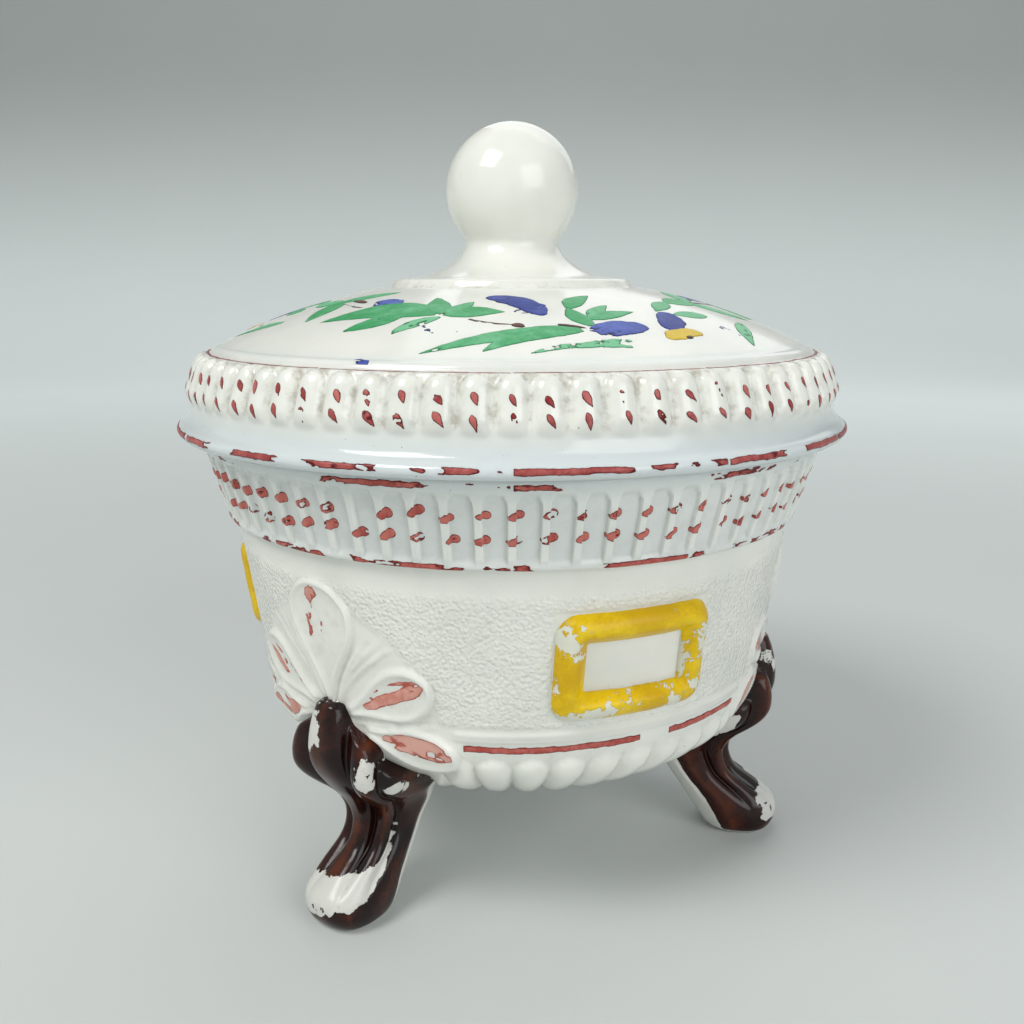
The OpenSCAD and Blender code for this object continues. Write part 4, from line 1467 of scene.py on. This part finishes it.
@dataclass
class Lid:
    """The glass of the lid: edge, flare, reeds, ridge, dome and knob."""

    base_z: float = 81.0
    edge_r: float = 61.0
    edge_t: float = 2.4
    edge_round: float = 0.8
    flare_h: float = 4.2
    flare_in: float = 2.6
    reed_h: float = 7.4
    reed_taper: float = 2.6
    reed_n: int = 72
    reed_w: float = 4.3
    reed_out: float = 1.3
    shelf_w: float = 1.2
    ridge_r: float = 1.3
    dome_rise: float = 12.0
    glass_t: float = 4.0
    lip_r: float = 51.0
    lip_t: float = 3.2
    lip_drop: float = 3.0
    knob_foot_r: float = 22.0
    knob_foot_t: float = 1.2
    knob_neck_r: float = 8.5
    knob_neck_h: float = 7.0
    ball_r: float = 12.0
    reed_r: float = 57.0
    soft: float = 0.25
    columns: int = 1008

    def __post_init__(self) -> None:
        """Works out the sizes that follow from the others, and the outline."""
        self.reed_foot = (self.edge_r - self.flare_in, self.edge_t + self.flare_h)
        self.shelf = (self.reed_foot[0] - self.reed_taper, self.reed_foot[1] + self.reed_h)
        self.dome_r = self.shelf[0] - self.shelf_w - self.ridge_r
        self.dome_z = self.shelf[1] + self.ridge_r
        self.sphere = (self.dome_r**2 + self.dome_rise**2) / (2 * self.dome_rise)
        self.middle = self.dome_z + self.dome_rise - self.sphere
        self.ground = ground = Turned(self.outline(), self.soft, self.relief)
        part = (ground.r > self.knob_foot_r + 1.2) & (ground.z > self.base_z + self.dome_z - 0.6)
        part[np.argmax(ground.r) :] = False
        self.dome_s = (float(ground.s[part][0]), float(ground.s[part][-1]))

    def dome_h(self, r: Array, inset: float = 0.0) -> Array:
        """Height of the dome above the lid's underside at radius r."""
        return self.middle + np.sqrt((self.sphere - inset) ** 2 - np.asarray(r, float) ** 2)

    def outline(self) -> list[Pair]:
        """The glass from the top of the knob, over the edge, to the middle of the underside.

        Returns:
            (radius, height) pairs.
        """
        seat = float(self.dome_h(self.knob_foot_r))
        neck_top = seat + self.knob_foot_t + self.knob_neck_h
        ball_z = neck_top + math.sqrt(self.ball_r**2 - self.knob_neck_r**2)
        low = math.degrees(math.asin((neck_top - ball_z) / self.ball_r))
        ball = arc(90, low, 40)
        wide = self.knob_foot_r - 1.5 - self.knob_neck_r
        flare = arc(0, 90, 20)
        dome = np.linspace(self.knob_foot_r + 1.6, self.dome_r - 1.0, 40)
        bead = arc(100, 0, 12)
        sweep = arc(90, 0, 10)
        rest = self.edge_r - self.edge_round
        under = np.linspace(self.lip_r - self.lip_t, 0, 40)
        knob = [
            *zip(self.ball_r * np.cos(ball), ball_z + self.ball_r * np.sin(ball)),
            *zip(
                self.knob_neck_r + wide * (1 - np.cos(flare)),
                seat + self.knob_foot_t + self.knob_neck_h * (1 - np.sin(flare)),
            ),
            (self.knob_foot_r - 0.4, seat + self.knob_foot_t * 0.9),
            (self.knob_foot_r, seat + 0.2),
            (self.knob_foot_r + 0.7, seat - 0.75),
        ]
        top = [
            *zip(dome, self.dome_h(dome)),
            *zip(self.dome_r + self.ridge_r * np.cos(bead), self.shelf[1] + self.ridge_r * np.sin(bead)),
            (self.shelf[0] - 0.1, self.shelf[1]),
            self.reed_foot,
            *zip(
                self.reed_foot[0] + (rest - self.reed_foot[0]) * (1 - np.sin(sweep)),
                self.edge_t + self.flare_h * (1 - np.cos(sweep)),
            ),
            (self.edge_r, self.edge_t - self.edge_round),
            (self.edge_r, self.edge_round),
            (rest, 0.0),
        ]
        hollow = [
            (self.lip_r, 0.0),
            (self.lip_r, -self.lip_drop),
            (self.lip_r - self.lip_t, -self.lip_drop),
            *zip(under, self.dome_h(under, self.glass_t)),
        ]
        return [(max(float(r), 0.0), float(h) + self.base_z) for r, h in knob + top + hollow]

    def relief(self, az: Array, r: Array, z: Array) -> dict[str, Array]:
        """Everything that stands out of the lid's plain outline.

        Args:
            az: Angles from the front, in degrees.
            r: Radius of the outline.
            z: Height of the outline.

        Returns:
            The lift, and the values stipple, thin and hollow.
        """
        az, r, z = np.broadcast_arrays(az, r, z)
        h = z - self.base_z
        t = (h - self.reed_foot[1]) / self.reed_h
        band = (r > self.shelf[0] - 0.6) & (t > -0.25) & (t < 1.02)
        pitch = 2 * math.pi * self.reed_r / self.reed_n
        u = ((az * self.reed_n / 360 + 0.5) % 1 - 0.5) * pitch / (self.reed_w / 2)
        cross = np.sqrt(np.clip(1 - u**2, 0, 1))
        head = domed((0.97 - t - 0.2 * (1 - cross)) / 0.28)
        foot = ramp01(t + 0.05 * cross, -0.12, 0.22)
        reeds = np.where(band, self.reed_out * cross * head * foot, 0)
        gap = np.where(band, ramp01(t, -0.1, 0.1) * (1 - cross * head), 0)
        groove = bell(r - self.knob_foot_r - 0.8, 0.8) * (h > self.dome_z + 6)
        shelf = bell(r - self.shelf[0] + 0.5, 0.5) * (np.abs(h - self.shelf[1]) < 0.8)
        blue = ramp01(h, self.reed_foot[1] + 1, self.edge_t) * (r > 50)
        blue = blue + 0.35 * ramp01(np.abs(r - self.dome_r), 2, 0.5)
        return {
            "lift": reeds,
            "stipple": np.zeros_like(z),
            "thin": np.clip(blue, 0, 1),
            "hollow": np.clip(gap + 0.7 * groove + 0.6 * shelf, 0, 1),
        }

    def dress(self) -> None:
        """Builds the glass of the lid as one pressing."""
        ground, (low, high) = self.ground, self.dome_s
        end = float(ground.s[-1])
        heights = (self.shelf[1] + 0.2, self.reed_foot[1] - 1.5, 0.1)
        s = [ground.station(self.base_z + h, high) for h in heights]
        rows = steps(
            (0.3, low - 5, 0.9), (low - 5, low + 1, 0.35), (low + 1, high - 3, 1.5), (high - 3, s[0], 0.3),
            (s[0], s[1], 0.28), (s[1], s[2], 0.4), (s[2], s[2] + 22, 0.8), (s[2] + 22, end - 0.5, 2.5),
            (end - 0.5, end, 1.0),
        )
        ground.skin(np.arange(self.columns) * 360 / self.columns, rows).piece(
            "lid_glass",
            OpalGlass(grime_and_shade_share=0.8).material("opal_glass_lid"),
            Body.LID,
            Slot.OPAL,
            ("lid_cover", "lid_reeds", "lid_knob"),
        )


@dataclass(frozen=True)
class Blade:
    """A brush stroke on the dome, from root to tip, as (radius, angle) places."""

    root: Pair
    tip: Pair
    width: float
    tone: float
    worn: float = 0.1
    blunt: bool = False

    @staticmethod
    def rows(table: Rows, blunt: bool) -> list["Blade"]:
        """Strokes from rows of root, tip, width, tone and, where it isn't the usual one, wear."""
        return [Blade((a, b), (c, d), *more, blunt=blunt) for a, b, c, d, *more in table]


@dataclass
class LidPaint:
    """Flower sprays, reed dabs and red lines on the lid."""

    lid: Lid
    film: float = 0.08
    eye_film: float = 0.16
    dab_film: float = 0.06
    dab_rows: Pair = (0.5, 0.12)
    sprays: int = 3
    first_az: float = -10.0
    offset: float = 122.3
    # Strokes of one spray: radius and angle of root and tip, width, tone, wear.
    leaves: Rows = (
        (40.3, -95.8, 37.7, -82.2, 3.0, 0.3), (40.0, -95.0, 34.4, -86.9, 2.6, 0.5, 0.2),
        (42.7, -96.5, 35.3, -98.6, 3.4, 0.2), (35.6, -98.2, 29.2, -87.7, 3.4, 0.25),
        (44.2, -99.3, 50.8, -117.2, 4.2, 0.3), (44.0, -100.2, 51.6, -127.3, 3.4, 0.25, 0.15),
        (47.9, -91.5, 49.8, -103.7, 1.9, 0.8, 0.5), (49.6, -92.4, 51.6, -110.4, 1.7, 0.85, 0.5),
        (38.1, -127.6, 37.3, -114.0, 4.6, 0.2), (38.1, -127.6, 32.5, -122.7, 3.2, 0.35),
        (38.1, -128.2, 30.5, -135.2, 3.8, 0.2), (37.6, -130.3, 42.9, -157.3, 7.0, 0.15),
        (39.6, -138.0, 45.8, -146.6, 4.4, 0.2), (39.7, -128.6, 46.2, -135.5, 3.0, 0.75, 0.35),
        (44.1, -53.1, 51.1, -65.3, 2.6, 0.6, 0.3), (40.2, -61.0, 39.3, -72.0, 3.2, 0.4),
        (33.7, -64.1, 37.8, -75.5, 3.0, 0.35), (34.1, -170.5, 27.4, -154.6, 3.6, 0.3),
        (34.1, -170.5, 43.0, -163.0, 4.6, 0.25), (34.4, -171.0, 35.5, -183.5, 4.0, 0.35),
    )
    fruits: Rows = (
        (38.4, -72.4, 44.9, -80.2, 4.6, 0.1, 0.05), (43.4, -84.4, 45.2, -97.6, 4.8, 0.25, 0.25),
        (38.8, -105.0, 29.6, -119.6, 4.8, 0.15, 0.15), (34.0, -104.0, 38.0, -112.0, 2.2, 0.3, 0.5),
        (33.9, -143.6, 33.2, -153.8, 4.0, 0.6, 0.2), (54.3, -134.0, 54.0, -137.0, 1.9, 0.3, 0.35),
        (41.0, -140.0, 46.0, -121.0, 3.0, 0.5, 0.93), (42.0, -66.0, 48.0, -62.0, 3.4, 0.5, 0.85),
    )
    stems: Rows = (
        (43.6, -98.0, 42.2, -104.0, 0.9, 0.3, 0.1), (43.0, -109.9, 42.2, -112.4, 1.5, 0.2, 0.1),
        (42.2, -112.2, 39.8, -122.8, 0.6, 0.4, 0.35), (39.0, -125.6, 37.4, -130.0, 0.8, 0.4, 0.3),
        (35.3, -141.6, 34.5, -144.6, 0.8, 0.3, 0.3), (33.0, -165.4, 33.9, -157.0, 1.3, 0.2, 0.1),
        (34.1, -171.8, 36.2, -154.0, 0.6, 0.3, 0.2),
    )
    flowers: Rows = (
        (46.0, -73.4, 47.4, -83.4, 3.4, 0.2, 0.05),
    )
    eyes: Rows = (
        (47.2, -77.4, 47.6, -79.2, 1.1, 0.0, 0.0),
    )

    def flat(self, place: tuple[float, float], spray: int) -> Array:
        """Where a place of a spray lies, seen from above, in millimetres."""
        a = math.radians(self.first_az + spray * 360 / self.sprays + place[1] + self.offset)
        return np.array([place[0] * math.sin(a), -place[0] * math.cos(a)])

    def stroke(self, blade: Blade, spray: int, draw: np.random.Generator, film: float) -> Skin | None:
        """Paints one stroke of one spray.

        Args:
            blade: The stroke.
            spray: Number of the spray, 0 for the first.
            draw: Random numbers for its edge.
            film: Thickness of the paint.

        Returns:
            Its film, or None if it has worn away.
        """
        ground, dome, grain = self.lid.ground, self.lid.dome_s, Grain(int(draw.integers(SEEDS)))
        root, tip = self.flat(blade.root, spray), self.flat(blade.tip, spray)
        if spray:
            root, tip = root + draw.normal(0, 0.5, 2), tip + draw.normal(0, 0.9, 2)
        width = blade.width * (1 if spray == 0 else draw.uniform(0.88, 1.12))
        way = tip - root
        length = float(np.hypot(*way))
        way, bend = way / length, draw.normal(0, 0.05) * length
        cell = 0.15 if width < 2 else 0.2
        u, v = np.meshgrid(np.arange(-1, length + 1, cell), np.arange(-width, width + cell, cell))
        t = np.clip(u / length, 0, 1)
        bow = v - bend * np.sin(np.pi * t)
        if blade.blunt:
            half = width / 2 * np.clip(1 - np.abs(2 * t - 1) ** 2.6, 0, 1) ** 0.55
        else:
            half = width / 2 * np.sin(np.pi * np.clip(0.06 + 0.94 * t, 0, 1) ** 0.8) ** 0.85
        ends = np.minimum(u, length - u)
        depth = np.minimum(half - np.abs(bow), ends + 0.3)
        rag = 0.11 + (0.25 if blade.blunt and width > 1.6 else 0.1 * blade.worn)
        depth = depth + rag * grain.rich(u / 1.1, v / 1.1, 3)
        dry = np.clip(t / 0.4 - 1.5, 0, 1) * draw.uniform(0.1, 0.8 if blade.blunt else 0.45)
        gone = 0.95 - 1.35 * blade.worn - dry + 0.9 * grain.rich(u / 1.5 + 3, v / 0.9, 4)
        depth = np.minimum(depth, gone * 0.8)
        side = np.array([-way[1], way[0]])

        def place(p: Array, q: Array, lift: Array) -> Array:
            """Lays the stroke on the dome."""
            x, y = (root + p[:, None] * way + q[:, None] * side).T
            return ground.point(np.degrees(np.arctan2(x, -y)), ground.ring(np.hypot(x, y), *dome), lift)

        return coat(u, v, depth, place, film, min(1.0, blade.tone + draw.uniform(-0.1, 0.15)))

    def group(self, table: Rows, blunt: bool, seed: int, film: float) -> Skin:
        """Paints strokes on every spray.

        Args:
            table: Rows of the strokes of one spray.
            blunt: Whether their ends are round.
            seed: Seed of their edges.
            film: Thickness of the paint.

        Returns:
            All of them in one skin.
        """
        draw, blades = np.random.default_rng(seed), Blade.rows(table, blunt)
        return Skin.join([self.stroke(b, k, draw, film) for k in range(self.sprays) for b in blades])

    def dabs(self) -> Skin:
        """Two red dabs on every reed.

        Returns:
            What is left of them, in one skin.
        """
        ground, lid, found = self.lid.ground, self.lid, []
        draw = np.random.default_rng(23)
        u, v = patch(3.6, 3.0, 0.12)
        for share in self.dab_rows:
            s0 = ground.station(lid.base_z + lid.reed_foot[1] + share * lid.reed_h, lid.dome_s[1])
            radius = ground.radius(s0)
            for k in range(lid.reed_n):
                grain = Grain(int(draw.integers(SEEDS)))
                az = k * 360 / lid.reed_n + draw.normal(0.15, 0.25)
                long, tall = draw.uniform(2.0, 2.7), draw.uniform(0.85, 1.25)
                x, y = tilted(u, v, draw.normal(62, 9))
                t = x / long + 0.5
                half = tall / 2 * np.sin(np.pi * np.clip(t, 0, 1) ** 0.7)
                depth = np.where((t > 0) & (t < 1), half - np.abs(y), -0.3)
                depth = depth + 0.08 * grain.rich(u / 0.5, v / 0.5, 2)
                worn = draw.beta(1.2, 3.0)
                depth = np.minimum(depth, 0.85 - 1.4 * worn + 0.7 * grain.rich(u + 5, v, 3))
                place = ground.spot(az, s0 + draw.normal(0, 0.15), radius)
                found.append(coat(u, v, depth, place, self.dab_film, float(draw.uniform(0.1, 0.7))))
        return Skin.join(found)

    def dress(self) -> None:
        """Builds the painted pieces of the lid."""
        lid, ground = self.lid, self.lid.ground
        red = BrushedEnamel(
            ink(92, 10, 16), ink(138, 38, 40), ink(190, 104, 98), 900.0, rim=0.2
        ).material("red_lid_enamel")
        green = BrushedEnamel(
            ink(22, 112, 62), ink(44, 152, 88), ink(118, 192, 146), 380.0, 0.4, 0.2
        ).material("green_leaf_enamel")
        blue = BrushedEnamel(
            ink(8, 16, 82), ink(22, 42, 132), ink(86, 104, 186), 520.0, 0.42, 0.2
        ).material("blue_fruit_enamel")
        brown = BrushedEnamel(
            ink(34, 18, 14), ink(62, 30, 22), ink(120, 64, 44), 700.0
        ).material("brown_stem_enamel")
        yellow = BrushedEnamel(
            ink(168, 132, 0), ink(208, 174, 0), ink(224, 196, 40), 500.0
        ).material("yellow_flower_enamel")
        for name, finish, table, blunt, seed, slot, node in (
            ("lid_green_leaf_strokes", green, self.leaves, False, 31, Slot.GREEN, "lid_green_leaves"),
            ("lid_blue_fruit_strokes", blue, self.fruits, True, 32, Slot.BLUE, "lid_blue_fruits"),
            ("lid_brown_stem_strokes", brown, self.stems, True, 33, Slot.BROWN, "lid_brown_stems"),
            ("lid_yellow_flower_strokes", yellow, self.flowers, True, 34, Slot.YELLOW, "lid_yellow_flowers"),
        ):
            self.group(table, blunt, seed, self.film).piece(name, finish, Body.LID, slot, (node,))
        eyes = self.group(self.eyes, True, 35, self.eye_film)
        eyes.piece("lid_flower_eyes", brown, Body.LID, Slot.BROWN)
        self.dabs().piece("reed_red_dabs", red, Body.LID, Slot.RED)
        liner = Liner(ground)
        heights = (lid.base_z + 1.5, lid.base_z + lid.shelf[1] + 0.12)
        edge, shelf = (ground.station(z, lid.dome_s[1]) for z in heights)
        rings = liner.line(edge, 1.0, ALL_ROUND, 11, 0.6) + liner.line(shelf + 0.4, 0.5, ALL_ROUND, 12, 0.95)
        Skin.join(rings).piece("lid_red_strokes", red, Body.LID, Slot.RED, ("lid_red_lines",))


@dataclass
class Studio:
    """A pale table that sweeps up behind, soft lamps and the camera."""

    lens: float = 35.16
    distance: float = 0.196
    az: float = 0.0
    elevation: float = 13.0
    aim: Triple = (0.0, 0.0, 0.063)
    soft: Colour = ink(156, 159, 157)
    wall: Colour = ink(194, 204, 203)

    def table(self) -> None:
        """Builds the table top with its sweep."""
        front, flat, foot, bend, top, half = -1.6, 0.5, 0.9, 0.5, 2.2, 2.2
        run = [(front, 0.0), (flat, 0.0)]
        run += [(foot + bend * math.sin(a), bend - bend * math.cos(a)) for a in arc(0, 90, 16)]
        run.append((foot + bend, top))
        across = np.linspace(-half, half, 9)
        points = np.array([[x, y, z] for y, z in run for x in across]) / MM
        skin = Skin(points, sheet_quads(len(run), len(across), False)[:, ::-1])
        skin.solid("table_sweep", PaleTable().material("pale_table"))

    def lamp(self, name: str, place: Triple, size: float, power: float, tint: Colour) -> None:
        """Adds a soft square lamp that looks at the box.

        Args:
            name: Name of the lamp.
            place: Where it hangs, in metres.
            size: Side of the square, in metres.
            power: Power in watts.
            tint: Colour of the light.
        """
        data = bpy.data.lights.new(name, "AREA")
        data.size, data.energy, data.color = size, power, tint[:3]
        made = bpy.data.objects.new(name, data)
        made.location = place
        made.rotation_euler = (Vector(self.aim) - Vector(place)).to_track_quat("-Z", "Y").to_euler()
        bpy.context.scene.collection.objects.link(made)

    def camera(self) -> None:
        """Sets the camera at the photo's side of the dish."""
        a, e = math.radians(self.az), math.radians(self.elevation)
        back = Vector((math.sin(a) * math.cos(e), -math.cos(a) * math.cos(e), math.sin(e)))
        data = bpy.data.cameras.new("camera")
        data.lens, data.sensor_width = self.lens, 36.0
        data.clip_start, data.clip_end = 0.01, 20
        made = bpy.data.objects.new("camera", data)
        made.location = Vector(self.aim) + back * self.distance
        made.rotation_euler = (-back).to_track_quat("-Z", "Y").to_euler()
        bpy.context.scene.collection.objects.link(made)
        bpy.context.scene.camera = made

    def dress(self) -> None:
        """Builds table, lamps, world and camera."""
        self.table()
        self.lamp("key_lamp", (-0.42, -0.35, 0.72), 0.36, 3.9, (1.0, 0.99, 0.965, 1))
        self.lamp("fill_lamp", (0.62, -0.8, 0.5), 0.7, 4.2, (0.99, 0.99, 1.0, 1))
        self.lamp("back_lamp", (0.2, 0.6, 0.65), 0.8, 1.7, (0.96, 0.98, 1.0, 1))
        room = RoomLight("soft_room")
        room.feed(room.shader.inputs["Color"], room.blend(room.seen(), self.soft, self.wall))
        bpy.context.scene.world = room.world
        bpy.context.scene.view_settings.view_transform = "Standard"
        self.camera()


def main() -> None:
    """Builds every sub-assembly in order, then the studio."""
    logging.basicConfig(level=logging.INFO, format="%(name)s: %(message)s")
    dish = Dish()
    dish.dress()
    Legs(dish).dress()
    Buckles(dish).dress()
    DishPaint(dish).dress()
    lid = Lid()
    lid.dress()
    LidPaint(lid).dress()
    Studio().dress()


if __name__ == "__main__":
    main()
